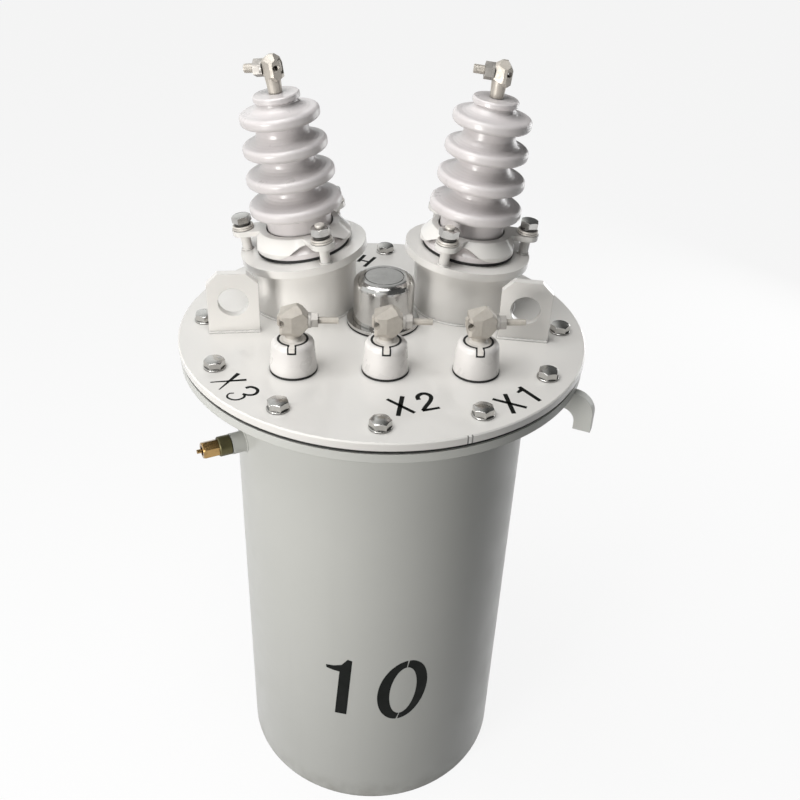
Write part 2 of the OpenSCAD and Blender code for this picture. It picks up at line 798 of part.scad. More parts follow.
module hv_eyebolt_left() {
  color(tin) hv_eyebolt(-1);
}

module hv_eyebolt_right() {
  color(tin) hv_eyebolt(1);
}

module hv_nuts() {
  color(steel) for (side = [-1, 1])
    hv_terminal_frame(side)
      nut(hv_nut_l, hv_rod_r, hv_nut_r, hv_nut_t, hv_washer_r, hv_washer_t);
}

// Frame of a low voltage bushing on the cover, X1 at the right
module lv_frame(number) {
  translate([(2 - number) * lv_step, -lv_y, cover_top])
    children();
}

module lv_gaskets() {
  color(black) for (number = [1 : 3])
    lv_frame(number)
      tube(lv_gasket_r, lv_hole_r, lv_gasket_t);
}

// Outline of a low voltage insulator with its rounded shoulder and recess
function lv_points() =
  concat([[0, -lv_tail_h], [lv_tail_r, -lv_tail_h], [lv_tail_r, lv_gasket_t], [lv_foot_r, lv_gasket_t]],
    [for (a = [0 : 15 : 90]) [lv_top_r - lv_round + lv_round * cos(a), lv_h - lv_round + lv_round * sin(a)]],
    [[lv_recess_r, lv_h], [lv_recess_r, lv_floor], [0, lv_floor]]);

// Block that fills the key's place in the front of an insulator
module lv_key_block(w, h) {
  translate([-w / 2, -lv_foot_r, lv_h - h])
    cube([w, lv_foot_r, h]);
}

module lv_insulator(number) {
  color(glaze) lv_frame(number)
    difference() {
      rotate_extrude()
        polygon(lv_points());
      lv_key_block(lv_key_w + 2 * lv_key_gap, lv_key_h);
    }
}

module lv_insulator_x1() {
  lv_insulator(1);
}

module lv_insulator_x2() {
  lv_insulator(2);
}

module lv_insulator_x3() {
  lv_insulator(3);
}

// Frame of a low voltage terminal: origin on its bolt's axis, bolt along +X
module lv_terminal_frame(number) {
  lv_frame(number)
    translate([0, 0, lv_axis_h])
      rotate([0, 0, [lv_x1_angle, lv_x2_angle, lv_x3_angle][number - 1]])
        children();
}

module lv_terminal(number) {
  color(tin) {
    lv_frame(number) {
      translate([0, 0, lv_floor]) {
        cylinder(r = lv_disc_r, h = lv_disc_h);
        cylinder(r = lv_stem_r, h = lv_axis_h - lv_strap_h * stem_in_share - lv_floor);
        translate([0, 0, lv_disc_h])
          cylinder(r1 = lv_cone_r, r2 = lv_stem_r, h = lv_cone_h);
      }
      intersection() {
        lv_key_block(lv_key_w, lv_key_h - lv_key_gap);
        cylinder(r = lv_top_r, h = 2 * lv_h);
      }
    }
    lv_terminal_frame(number)
      terminal_head(lv_head_w, lv_ridge_h, lv_foot_h, lv_tip_w, lv_tip_l, lv_tip_up, lv_tip_down,
        lv_flat_l, lv_crease_l, lv_peak_l, lv_nut_l, lv_strap_h, lv_rod_r, lv_wire_r, lv_wire_l,
        lv_washer_r);
  }
}

module lv_terminal_x1() {
  lv_terminal(1);
}

module lv_terminal_x2() {
  lv_terminal(2);
}

module lv_terminal_x3() {
  lv_terminal(3);
}

module lv_eyebolt(number) {
  color(tin) lv_terminal_frame(number)
    eyebolt(lv_head_w, lv_strap_h, lv_strap_l, lv_nut_l, lv_rod_r, lv_rod_l);
}

module lv_eyebolt_x1() {
  lv_eyebolt(1);
}

module lv_eyebolt_x2() {
  lv_eyebolt(2);
}

module lv_eyebolt_x3() {
  lv_eyebolt(3);
}

module lv_nuts() {
  color(steel) for (number = [1 : 3])
    lv_terminal_frame(number)
      nut(lv_nut_l, lv_rod_r, lv_nut_r, lv_nut_t, lv_washer_r, lv_washer_t);
}

// Outline of the cap, its rim rounded
function cap_points(r, top, rim) =
  concat([[r, cap_gasket_t]],
    [for (a = [0 : 15 : 90]) [r - rim + rim * cos(a), top - rim + rim * sin(a)]],
    [[0, top], [0, cap_gasket_t]]);

module access_cap() {
  color(steel) translate([0, cap_y, cover_top])
    difference() {
      union() {
        rotate_extrude()
          polygon(cap_points(cap_r, cap_h, cap_round));
        translate([0, 0, cap_gasket_t])
          cylinder(r = cap_flange_r, h = cap_flange_t);
      }
      translate([0, 0, -cap_skin])
        rotate_extrude()
          polygon(cap_points(cap_r - cap_skin, cap_h, cap_round - cap_skin));
      translate([0, 0, cap_h - cap_ring_w])
        tube(cap_ring_r, cap_ring_r - cap_ring_w, 2 * cap_ring_w);
    }
}

module cap_gasket() {
  color(black) translate([0, cap_y, cover_top])
    tube(cap_flange_r, cap_bore_r, cap_gasket_t);
}

// Upright plate with bevelled top corners and a hole, along the radius
module lifting_eye(turn, mid_r) {
  color(paint) rotate([0, 0, turn])
    translate([mid_r, eye_t / 2, cover_top])
      rotate([90, 0, 0])
        linear_extrude(eye_t)
          difference() {
            polygon([[-eye_w / 2, 0], [eye_w / 2, 0], [eye_w / 2, eye_h - eye_bevel],
              [eye_w / 2 - eye_bevel, eye_h], [eye_bevel - eye_w / 2, eye_h],
              [-eye_w / 2, eye_h - eye_bevel]]);
            translate([0, eye_hole_z])
              circle(r = eye_hole_r);
          }
}

module lifting_eye_left() {
  lifting_eye(180 + eye_left_angle, eye_left_r);
}

module lifting_eye_right() {
  lifting_eye(-eye_right_angle, eye_right_r);
}

// Hook outline in the plane of the radius, heights measured down from the flange
module hook_shape() {
  difference() {
    union() {
      translate([hook_mid_r, -hook_r])
        circle(r = hook_r);
      translate([hook_mid_r, -hook_nose_drop])
        square([hook_r, hook_nose_drop - hook_r]);
      translate([tank_in_r, -hook_root_drop])
        square([throat_mid_r - throat_r - tank_in_r, hook_root_drop]);
      translate([tank_in_r, -hook_r])
        square([hook_mid_r - tank_in_r, hook_r]);
    }
    translate([throat_mid_r, -throat_drop])
      circle(r = throat_r);
    translate([throat_mid_r - throat_r, -2 * hook_root_drop])
      square([2 * throat_r, 2 * hook_root_drop - throat_drop]);
    translate([throat_mid_r - throat_r, -2 * hook_root_drop])
      square([4 * hook_r, 2 * hook_root_drop - hook_nose_drop]);
  }
}

module lifting_hook(turn) {
  color(paint) difference() {
    rotate([0, 0, turn])
      translate([0, hook_t / 2, flange_z])
        rotate([90, 0, 0])
          linear_extrude(hook_t)
            hook_shape();
    cylinder(r = tank_r, h = tank_h);
  }
}

module lifting_hook_right() {
  lifting_hook(-hook_angle);
}

module lifting_hook_left() {
  lifting_hook(180 - hook_angle);
}

// Frame of the valve, its axis along +Z
module valve_frame() {
  translate([0, 0, valve_z])
    rotate([0, 0, valve_angle])
      rotate([0, 90, 0])
        children();
}

module valve_stub() {
  color(paint) difference() {
    valve_frame()
      cylinder(r = stub_r, h = tank_r + stub_l);
    cylinder(r = tank_r, h = tank_h);
  }
}

module valve_collar() {
  color(brass) valve_frame()
    translate([0, 0, tank_r + stub_l])
      rotate_extrude()
        polygon([[0, 0], [collar_r - collar_bevel, 0], [collar_r, collar_bevel],
          [collar_r, collar_l - collar_bevel], [collar_r - collar_bevel, collar_l], [0, collar_l]]);
}

// Six-sided body with turned corners, a socket in its end and the pull pin in the socket
module valve_body() {
  color(brass) valve_frame()
    translate([0, 0, tank_r + stub_l + collar_l]) {
      difference() {
        intersection() {
          cylinder(r = hex_r, h = hex_l, $fn = 6);
          rotate_extrude()
            polygon([[0, 0], [hex_r, 0], [hex_r, hex_l - hex_bevel], [hex_r - hex_bevel, hex_l], [0, hex_l]]);
        }
        translate([0, 0, hex_l - socket_h])
          cylinder(r = socket_r, h = 2 * socket_h);
      }
      cylinder(r = pin_r, h = hex_l + pin_l);
    }
}

// Hat-shaped bracket welded to the tank's back, its face drilled for a pole bolt
module pole_bracket(z) {
  color(paint) difference() {
    translate([-bracket_w / 2, 0, z - bracket_h / 2])
      cube([bracket_w, bracket_face_y, bracket_h]);
    translate([bracket_t - bracket_w / 2, 0, z - bracket_h])
      cube([bracket_w - 2 * bracket_t, bracket_face_y - bracket_t, 2 * bracket_h]);
    translate([0, 2 * bracket_face_y, z])
      rotate([90, 0, 0])
        cylinder(r = bracket_hole_r, h = 2 * bracket_face_y);
    translate([0, 0, -bracket_h])
      cylinder(r = tank_r, h = 2 * tank_h);
  }
}

module pole_bracket_upper() {
  pole_bracket(bracket_top_z);
}

module pole_bracket_lower() {
  pole_bracket(bracket_top_z - bracket_step);
}

tank_shell();
tank_bottom();
tank_flange();
cover_gasket();
cover_plate();
hv_turret_left();
hv_turret_right();
hv_gaskets();
hv_insulator_left();
hv_insulator_right();
hv_clamp_left();
hv_clamp_right();
hv_terminal_left();
hv_terminal_right();
hv_eyebolt_left();
hv_eyebolt_right();
hv_nuts();
lv_gaskets();
lv_insulator_x1();
lv_insulator_x2();
lv_insulator_x3();
lv_terminal_x1();
lv_terminal_x2();
lv_terminal_x3();
lv_eyebolt_x1();
lv_eyebolt_x2();
lv_eyebolt_x3();
lv_nuts();
access_cap();
cap_gasket();
lifting_eye_left();
lifting_eye_right();
lifting_hook_left();
lifting_hook_right();
valve_stub();
valve_collar();
valve_body();
pole_bracket_upper();
pole_bracket_lower();
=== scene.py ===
"""Looks of the pole mounted transformer: finishes, fasteners, threads, welds and painted marks."""
import math

import bmesh
import bpy
from mathutils import Matrix, Vector


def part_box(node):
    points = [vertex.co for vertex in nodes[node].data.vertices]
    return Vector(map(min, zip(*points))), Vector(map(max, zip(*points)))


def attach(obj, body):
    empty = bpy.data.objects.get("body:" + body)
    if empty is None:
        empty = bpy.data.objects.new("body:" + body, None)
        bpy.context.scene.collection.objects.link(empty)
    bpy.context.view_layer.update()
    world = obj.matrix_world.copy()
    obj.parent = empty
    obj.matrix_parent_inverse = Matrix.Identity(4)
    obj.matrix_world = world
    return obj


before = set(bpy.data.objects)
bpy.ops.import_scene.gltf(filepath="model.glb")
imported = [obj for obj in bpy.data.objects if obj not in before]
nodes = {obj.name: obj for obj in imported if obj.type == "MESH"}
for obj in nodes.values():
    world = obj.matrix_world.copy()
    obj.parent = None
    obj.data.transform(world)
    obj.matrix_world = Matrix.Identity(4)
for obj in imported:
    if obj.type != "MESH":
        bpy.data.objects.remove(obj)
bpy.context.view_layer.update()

MM = 0.001

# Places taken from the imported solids
tank_low, tank_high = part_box("tank_shell")
cover_low, cover_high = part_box("cover_plate")
TANK_R = (tank_high.x - tank_low.x) / 2
COVER_R = (cover_high.x - cover_low.x) / 2
COVER_TOP = cover_high.z
FLANGE_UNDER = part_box("tank_flange")[0].z

# Meshes: distance at which points merge, and angle from which an edge stays sharp
MERGE_DISTANCE = 1e-7
SHARP_ANGLE = math.radians(35)

# Cover bolts: each head is turned from the last by BOLT_SPIN degrees
BOLT_COUNT = 12
BOLT_FIRST = math.radians(-92)
BOLT_CIRCLE_R = COVER_R - 23.5 * MM
BOLT_SPIN = 37
HEX_TURN = 60
M10_FLATS = 17 * MM
M10_HEAD_H = 6.6 * MM
M10_NUT_H = 8 * MM
M10_SHANK_R = 5 * MM
M10_PITCH = 1.5 * MM
BOLT_END = 3 * MM
WASHER_R = 10.2 * MM
WASHER_T = 1.6 * MM
UNDER_WASHER_R = 10 * MM

# Shapes of fasteners, as shares of their sizes
HEX_FACE_SHARE = 0.94
HEX_CHAMFER = math.radians(28)
HEX_PER_SIDE = 8
SOFT_EDGE_SHARE = 0.22
THREAD_DEPTH_SHARE = 0.3
THREAD_ROOT_SHARE = 0.35
THREAD_TIP_R_SHARE = 0.8
THREAD_TIP_H_SHARE = 0.12
THREAD_RINGS_PER_PITCH = 4

# High voltage bushings: turret centre, lean and clamp turn of each side
TURRET_R = 53 * MM
TURRET_RING_TOP = 62.6 * MM
HV_SIDES = {
    "left": {"place": (-80.5 * MM, 54 * MM), "lean": -8.7, "clamp_turn": 175},
    "right": {"place": (85 * MM, 54 * MM), "lean": 5.8, "clamp_turn": 0},
}
EAR_COUNT = 3
EAR_STEP = 120
EAR_CIRCLE_R = 57.2 * MM
EAR_TOP = 22 * MM
POST_R = 5 * MM

# Clamp bolts: ears with a stud and a nut in place of a bolt, and washers under each head
STUD_EARS = {("left", 1), ("right", 2)}
STUD_END_R = 4.7 * MM
STUD_END_H = 2.6 * MM
CLAMP_WASHER_COUNT = 2
CLAMP_WASHER_R = 10.6 * MM
CLAMP_WASHER_T = 2.1 * MM
WASHER_STEP = 0.4 * MM
SPRING_WASHER_R = 8 * MM
SPRING_WASHER_T = 3 * MM
CLAMP_HEAD_TURN = 20
CLAMP_HEAD_STEP = 13

# Low voltage terminals and their bolts
LV_X = {"x1": 84 * MM, "x2": 0.0, "x3": -84 * MM}
LV_TURN = {"x1": 3, "x2": 0, "x3": 0}
LV_Y = -83.8 * MM
LV_AXIS_Z = COVER_TOP + 50.6 * MM
LV_ROD_R = 2.9 * MM
LV_THREAD = (23 * MM, 40.6 * MM)
LV_PITCH = 1 * MM

# Low voltage insulators: top, rounded shoulder, disc in its recess and the key in its notch
LV_TOP = COVER_TOP + 31.5 * MM
LV_TOP_R = 19.5 * MM
LV_ROUND = 5 * MM
LV_DISC_R = 12.3 * MM
LV_RECESS_R = 13.9 * MM
LV_RECESS_H = 6 * MM
LV_KEY_HALF_W = 2.6 * MM
LV_KEY_H = 4.4 * MM
LV_KEY_GAP = 1.2 * MM
SEAL_LIP = 0.3 * MM
SEAL_PROUD = 0.15 * MM
SEAL_SIDE_STEPS = 8
SEAL_FLOOR_STEPS = 6
SEAL_RING_STEPS = 60

# Cream resin at the foot of the low voltage terminals
CREAM = (0.8, 0.765, 0.72)
CREAM_TOP = LV_TOP + 1.5 * MM
CREAM_FADE = 2 * MM

# High voltage terminals and their bolts
HV_AXIS_Z = 173.2 * MM
HV_ROD_R = 4 * MM
HV_THREAD = (15.6 * MM, 25 * MM)
HV_PITCH = 1.25 * MM
HV_TERMINAL_TURN = {"left": 164, "right": 176}

# Lifting eyes, hooks and valve: turn about the tank's axis, and middle of the eye plates
EYES = {"left": {"turn": 185.5, "middle": 145.5 * MM}, "right": {"turn": -9, "middle": 138 * MM}}
EYE_HALF_W = 24.5 * MM
EYE_HALF_T = 4 * MM
HOOK_TURNS = (-25, 155)
HOOK_HALF_T = 4.5 * MM
HOOK_ROOT = 41 * MM
VALVE_TURN = -156

# Welds: radius of each bead, and where it lies
WELD_STEP = 1.6 * MM
WELD_GAP = 0.3 * MM
WELD_RIPPLE = 0.14
WELD_SIDES = 8
WELD_LEAN = Vector((0.13, 0.29, 0.95))
CIRCLE_LEAST = 24
TURRET_WELD_R = 1.4 * MM
POST_WELD_R = 1.1 * MM
POST_WELD_LIFT = 0.2 * MM
PLATE_WELD_R = 1.8 * MM
PLATE_WELD_CLEAR = 2 * MM
STUB_WELD_R = 1.2 * MM
STUB_WELD_GAP = 0.2 * MM
STUB_WELD_STEP = 1.2 * MM
BRACKET_WELD_R = 2 * MM

# Nicks in the cover's edge, in colour only: a light scratch between two strips of painted shade where the
# edge is dented; turn about the tank's axis and colour of each strip
NICK_SCRATCH_AND_SHADE = ((-70.4, (0.16, 0.155, 0.15)), (-69.9, (0.85, 0.84, 0.82)), (-69.2, (0.2, 0.195, 0.19)))
NICK_HALF_W = 0.5 * MM
NICK_FADE_SHARE = 1.5
NICK_DEPTHS = (1.5 * MM, 0.8 * MM)

# Painted shade where faces meet, by its reach on paint and glaze and on metal; and the darker band at the
# tank's foot
CREVICE_SHADE_REACH = 3 * MM
METAL_CREVICE_SHADE_REACH = 2 * MM
FOOT_BAND_H = 30 * MM
FOOT_BAND_TONE = (0.2, 0.18, 0.15)

# Painted marks: thickness, height over the surface, and longest steps in millimetres
MARK_T = 0.25 * MM
MARK_LIFT = 0.12 * MM
MARK_ROWS = 6
COVER_MARK_STEP = 1.5
TANK_MARK_STEP = 2.0
CORNER_CUT = 0.25

# The nought on the tank, in millimetres: both outlines, and the half angle of its stencil bridges
NOUGHT_OUTER = {"centre": (28.2, 185.8), "radii": (27.1, 45.7), "slant": 0.12}
NOUGHT_INNER = {"centre": (28.7, 185.2), "radii": (14.6, 36), "slant": 0.09}
NOUGHT_BRIDGE = 1.8
NOUGHT_STEPS = 72

# Floor: how bright it shows, how much of that is its own, and how much light it throws back
FLOOR_TONE = 0.95
FLOOR_GLOW = 0.88
FLOOR_BOUNCE = 0.13
FLOOR_HALF = 9

# Room light from the left, the right and the top, and the darkest tones of the mirrored backdrop
ROOM_LEFT = 0.22
ROOM_RIGHT = 0.07
ROOM_TOP = 0.1
ROOM_COLOUR = (0.98, 1, 0.99, 1)
BACKDROP_TOP = 0.45
BACKDROP_RIGHT = 0.12

# Camera: where the photograph was taken from, in metres and degrees
CAMERA_PLACE = (-0.0304, -0.8237, 1.0084)
CAMERA_YAW = 3.51
CAMERA_PITCH = -33.35
CAMERA_ROLL = -2.57
CAMERA_FOCAL_PX = 941.7
CAMERA_REACH = 100
PHOTO_PX = 800
SENSOR_MM = 36


# Shader helpers

def new_material(name):
    """A node material, with its tree and its Principled shader."""
    material = bpy.data.materials.new(name)
    material.use_nodes = True
    tree = material.node_tree
    return material, tree, tree.nodes["Principled BSDF"]


def coordinates(tree, stretch=(1, 1, 1), move=(0, 0, 0)):
    """Row-frame coordinates in metres, stretched and moved."""
    source = tree.nodes.new("ShaderNodeTexCoord")
    mapping = tree.nodes.new("ShaderNodeMapping")
    mapping.inputs["Scale"].default_value = stretch
    mapping.inputs["Location"].default_value = move
    tree.links.new(source.outputs["Object"], mapping.inputs["Vector"])
    return mapping.outputs["Vector"]


def noise(tree, scale, detail=4, roughness=0.55, stretch=(1, 1, 1), move=(0, 0, 0)):
    """Noise in row-frame space; scale counts features per metre."""
    node = tree.nodes.new("ShaderNodeTexNoise")
    node.inputs["Scale"].default_value = scale
    node.inputs["Detail"].default_value = detail
    node.inputs["Roughness"].default_value = roughness
    tree.links.new(coordinates(tree, stretch, move), node.inputs["Vector"])
    return node.outputs["Fac"]


def ramp(tree, value, low, high, start=0.0, end=1.0):
    """Maps value from low..high to start..end, clamped."""
    node = tree.nodes.new("ShaderNodeMapRange")
    node.clamp = True
    node.inputs["From Min"].default_value = low
    node.inputs["From Max"].default_value = high
    node.inputs["To Min"].default_value = start
    node.inputs["To Max"].default_value = end
    tree.links.new(value, node.inputs["Value"])
    return node.outputs["Result"]


def combine(tree, operation, first, second):
    """A math node; each side is a socket or a number."""
    node = tree.nodes.new("ShaderNodeMath")
    node.operation = operation
    for value, socket in ((first, node.inputs[0]), (second, node.inputs[1])):
        if isinstance(value, (int, float)):
            socket.default_value = value
        else:
            tree.links.new(value, socket)
    return node.outputs["Value"]


def blend_colour(tree, factor, first, second):
    """Mixes two colours; each is a socket or a colour."""
    node = tree.nodes.new("ShaderNodeMix")
    node.data_type = "RGBA"
    tree.links.new(factor, node.inputs["Factor"])
    for value, socket in ((first, node.inputs[6]), (second, node.inputs[7])):
        if isinstance(value, tuple):
            socket.default_value = (*value, 1)
        else:
            tree.links.new(value, socket)
    return node.outputs[2]


def darker(colour, share):
    """A colour brought down to a share of its brightness."""
    return tuple(c * share for c in colour)


def bump(tree, height, distance, strength, under=None):
    """Bump from a height socket; distance in metres."""
    node = tree.nodes.new("ShaderNodeBump")
    node.inputs["Strength"].default_value = strength
    node.inputs["Distance"].default_value = distance
    tree.links.new(height, node.inputs["Height"])
    if under is not None:
        tree.links.new(under, node.inputs["Normal"])
    return node.outputs["Normal"]


def rounded(tree, radius):
    """Normal with edges softened by a small radius, as paint and casting leave them."""
    node = tree.nodes.new("ShaderNodeBevel")
    node.samples = 4
    node.inputs["Radius"].default_value = radius
    return node.outputs["Normal"]


def crevice_shade(tree, distance, strength):
    """Share of painted shade where faces meet, from ambient occlusion."""
    node = tree.nodes.new("ShaderNodeAmbientOcclusion")
    node.samples = 4
    node.inputs["Distance"].default_value = distance
    return ramp(tree, node.outputs["AO"], 0.35, 0.85, strength, 0)


def height_value(tree):
    """Height over the ground as a value."""
    node = tree.nodes.new("ShaderNodeSeparateXYZ")
    tree.links.new(coordinates(tree), node.inputs["Vector"])
    return node.outputs["Z"]


# Materials

def nick_mask(tree, turn):
    """One where a narrow nick crosses the cover's edge, at a turn about the tank's axis."""
    mapping = tree.nodes.new("ShaderNodeMapping")
    mapping.inputs["Rotation"].default_value = (0, 0, math.radians(-turn))
    tree.links.new(coordinates(tree), mapping.inputs["Vector"])
    split = tree.nodes.new("ShaderNodeSeparateXYZ")
    tree.links.new(mapping.outputs["Vector"], split.inputs["Vector"])
    off = combine(tree, "ABSOLUTE", split.outputs["Y"], 0)
    narrow = ramp(tree, off, NICK_HALF_W, NICK_HALF_W * NICK_FADE_SHARE, 1, 0)
    inner, outer = (COVER_R - depth for depth in NICK_DEPTHS)
    return combine(tree, "MULTIPLY", narrow, ramp(tree, split.outputs["X"], inner, outer))


def paint_material(name, colour, shade, coat, dark_foot_band=False, scratch_and_shade=()):
    """Gloss enamel over steel: faint patches, runs, dust specks and orange peel."""
    material, tree, shader = new_material(name)
    patches = ramp(tree, noise(tree, 6, 3), 0.3, 0.7)
    runs = ramp(tree, noise(tree, 40, 3, stretch=(1, 1, 0.06), move=(3, 0, 0)), 0.58, 0.8, 0, 0.2)
    specks = ramp(tree, noise(tree, 520, 2, move=(0, 5, 0)), 0.77, 0.8, 0, 0.4)
    base = blend_colour(tree, patches, colour, shade)
    base = blend_colour(tree, runs, base, darker(shade, 0.93))
    base = blend_colour(tree, specks, base, darker(shade, 0.55))
    # Darker towards the tank's foot, in noisy blotches.
    if dark_foot_band:
        foot = ramp(tree, height_value(tree), 0.0, FOOT_BAND_H, 0.45, 0)
        dark_blotches = combine(tree, "MULTIPLY", foot, ramp(tree, noise(tree, 45, 6), 0.4, 0.7))
        base = blend_colour(tree, dark_blotches, base, FOOT_BAND_TONE)
    # Painted shade: the base colour darkens where faces meet.
    base = blend_colour(tree, crevice_shade(tree, CREVICE_SHADE_REACH, 0.6), base, darker(shade, 0.2))
    # Nicks: a light scratch with painted shade on either side.
    for turn, tint in scratch_and_shade:
        base = blend_colour(tree, nick_mask(tree, turn), base, tint)
    tree.links.new(base, shader.inputs["Base Color"])
    gloss = ramp(tree, noise(tree, 35, 4, move=(0, 0, 2)), 0.3, 0.75, 0.28, 0.4)
    tree.links.new(gloss, shader.inputs["Roughness"])
    shader.inputs["Specular IOR Level"].default_value = 0.35
    shader.inputs["Coat Weight"].default_value = coat
    shader.inputs["Coat Roughness"].default_value = 0.05
    peel = bump(tree, noise(tree, 420, 2), 0.06 * MM, 0.4, rounded(tree, 0.9 * MM))
    waves = bump(tree, noise(tree, 9, 1, move=(7, 1, 0)), 1.2 * MM, 0.35, peel)
    tree.links.new(waves, shader.inputs["Normal"])
    return material


def glaze_material(name, colour, shade, roughness):
    """Glazed porcelain: soft mottling, pinholes and thin grime."""
    material, tree, shader = new_material(name)
    mottle = ramp(tree, noise(tree, 28, 5), 0.35, 0.7)
    pinholes = ramp(tree, noise(tree, 900, 2, move=(2, 2, 2)), 0.76, 0.8, 0, 0.4)
    dark_blotches = ramp(tree, noise(tree, 90, 6, 0.7, move=(1, 4, 0)), 0.55, 0.8, 0, 0.3)
    base = blend_colour(tree, mottle, colour, shade)
    base = blend_colour(tree, dark_blotches, base, darker(shade, 0.78))
    base = blend_colour(tree, pinholes, base, darker(shade, 0.5))
    # Painted shade: the base colour darkens where faces meet.
    base = blend_colour(tree, crevice_shade(tree, CREVICE_SHADE_REACH, 0.6), base, darker(shade, 0.2))
    tree.links.new(base, shader.inputs["Base Color"])
    dullness = ramp(tree, noise(tree, 50, 3), 0.3, 0.7, roughness, roughness * 1.7)
    tree.links.new(dullness, shader.inputs["Roughness"])
    shader.inputs["Coat Weight"].default_value = 0.4
    shader.inputs["Coat Roughness"].default_value = 0.17
    ripples = bump(tree, noise(tree, 110, 3), 0.3 * MM, 0.35, rounded(tree, 0.8 * MM))
    tree.links.new(ripples, shader.inputs["Normal"])
    return material


def metal_material(name, colour, shade, roughness, grain, metallic=1.0, stretch=(1, 1, 1), cream_below=None):
    """Bare metal: tarnish patches, grain and handling marks; cream resin below a height, if given."""
    material, tree, shader = new_material(name)
    tarnish = ramp(tree, noise(tree, 70, 6, 0.65), 0.38, 0.72)
    spots = ramp(tree, noise(tree, 420, 3, move=(4, 0, 1)), 0.7, 0.78, 0, 0.4)
    base = blend_colour(tree, tarnish, colour, shade)
    base = blend_colour(tree, spots, base, darker(shade, 0.6))
    # Painted shade: the base colour darkens where faces meet.
    base = blend_colour(tree, crevice_shade(tree, METAL_CREVICE_SHADE_REACH, 0.85), base, darker(shade, 0.08))
    shader.inputs["Metallic"].default_value = metallic
    if cream_below is not None:
        bare = ramp(tree, height_value(tree), cream_below, cream_below + CREAM_FADE)
        base = blend_colour(tree, bare, CREAM, base)
        tree.links.new(ramp(tree, bare, 0, 1, 0, metallic), shader.inputs["Metallic"])
    tree.links.new(base, shader.inputs["Base Color"])
    dullness = ramp(tree, noise(tree, 160, 4, stretch=stretch), 0.3, 0.7, roughness * 0.8, roughness * 1.25)
    tree.links.new(dullness, shader.inputs["Roughness"])
    dents = bump(tree, noise(tree, grain, 3, stretch=stretch), 0.04 * MM, 0.4, rounded(tree, 0.35 * MM))
    tree.links.new(dents, shader.inputs["Normal"])
    return material


def rubber_material():
    """Black gasket rubber with a dusty bloom."""
    material, tree, shader = new_material("black_rubber")
    bloom = ramp(tree, noise(tree, 160, 5, 0.7), 0.45, 0.8, 0, 0.6)
    black = blend_colour(tree, bloom, (0.01, 0.01, 0.01), (0.035, 0.034, 0.032))
    tree.links.new(black, shader.inputs["Base Color"])
    shader.inputs["Roughness"].default_value = 0.72
    tree.links.new(bump(tree, noise(tree, 1200, 2), 0.1 * MM, 0.6), shader.inputs["Normal"])
    return material


def mark_material():
    """Black stencil paint, a little thin in places."""
    material, tree, shader = new_material("black_paint")
    thin = ramp(tree, noise(tree, 240, 5, 0.7), 0.6, 0.85, 0, 0.5)
    ink = blend_colour(tree, thin, (0.004, 0.005, 0.004), (0.02, 0.02, 0.019))
    tree.links.new(ink, shader.inputs["Base Color"])
    tree.links.new(ramp(tree, noise(tree, 90, 3), 0.3, 0.7, 0.5, 0.65), shader.inputs["Roughness"])
    shader.inputs["Specular IOR Level"].default_value = 0.12
    tree.links.new(bump(tree, noise(tree, 700, 2), 0.08 * MM, 0.5), shader.inputs["Normal"])
    return material


TANK_PAINT = paint_material("tank_paint", (0.585, 0.588, 0.56), (0.565, 0.57, 0.54),
                            coat=0.12, dark_foot_band=True)
COVER_PAINT = paint_material("cover_paint", (0.775, 0.755, 0.725), (0.75, 0.732, 0.702),
                             coat=0.8, scratch_and_shade=NICK_SCRATCH_AND_SHADE)
HV_GLAZE = glaze_material("hv_glaze", (0.67, 0.632, 0.63), (0.63, 0.6, 0.598), roughness=0.26)
LV_GLAZE = glaze_material("lv_glaze", (0.72, 0.695, 0.675), (0.68, 0.66, 0.64), roughness=0.22)
TINNED = metal_material("tinned_metal", (0.52, 0.485, 0.435), (0.42, 0.385, 0.34),
                        roughness=0.44, grain=1500, metallic=0.3)
PALE_ZINC = metal_material("pale_zinc", (0.66, 0.625, 0.58), (0.56, 0.525, 0.48),
                           roughness=0.42, grain=1500, metallic=0.35)
LV_TINNED = metal_material("lv_tinned_metal", (0.52, 0.485, 0.435), (0.42, 0.385, 0.34),
                           roughness=0.44, grain=1500, metallic=0.3, cream_below=CREAM_TOP)
STAINLESS = metal_material("stainless", (0.6, 0.59, 0.57), (0.44, 0.43, 0.415), roughness=0.18, grain=1800)
SPRING_STEEL = metal_material("spring_steel", (0.12, 0.115, 0.11), (0.06, 0.058, 0.055),
                              roughness=0.45, grain=900)
NUT_STEEL = metal_material("nut_steel", (0.42, 0.4, 0.375), (0.28, 0.265, 0.245),
                           roughness=0.46, grain=1800, metallic=0.45)
CAP_STEEL = metal_material("cap_steel", (0.57, 0.56, 0.545), (0.49, 0.48, 0.465),
                           roughness=0.15, grain=500, stretch=(0.3, 0.3, 6))
BRASS = metal_material("brass", (0.45, 0.29, 0.12), (0.2, 0.125, 0.055), roughness=0.2, grain=900)
OLIVE = metal_material("collar_metal", (0.135, 0.12, 0.055), (0.08, 0.07, 0.035),
                       roughness=0.42, grain=900, metallic=0.7)
RUBBER = rubber_material()
MARK = mark_material()


def material_of(name):
    """The finish of a CAD node, by its name."""
    if "gasket" in name:
        return RUBBER
    if "insulator" in name:
        return HV_GLAZE if name.startswith("hv") else LV_GLAZE
    if name.startswith("lv_terminal"):
        return LV_TINNED
    if "terminal" in name or "eyebolt" in name:
        return TINNED
    if name == "access_cap":
        return CAP_STEEL
    if "nuts" in name:
        return NUT_STEEL
    if name == "valve_body":
        return BRASS
    if name == "valve_collar":
        return OLIVE
    if name.startswith(("tank", "lifting_hook", "pole_bracket", "valve_stub")):
        return TANK_PAINT
    return COVER_PAINT


def dress_cad_nodes():
    """Gives every CAD node its finish."""
    for name, node in nodes.items():
        node.data.materials.clear()
        node.data.materials.append(material_of(name))


# Mesh helpers

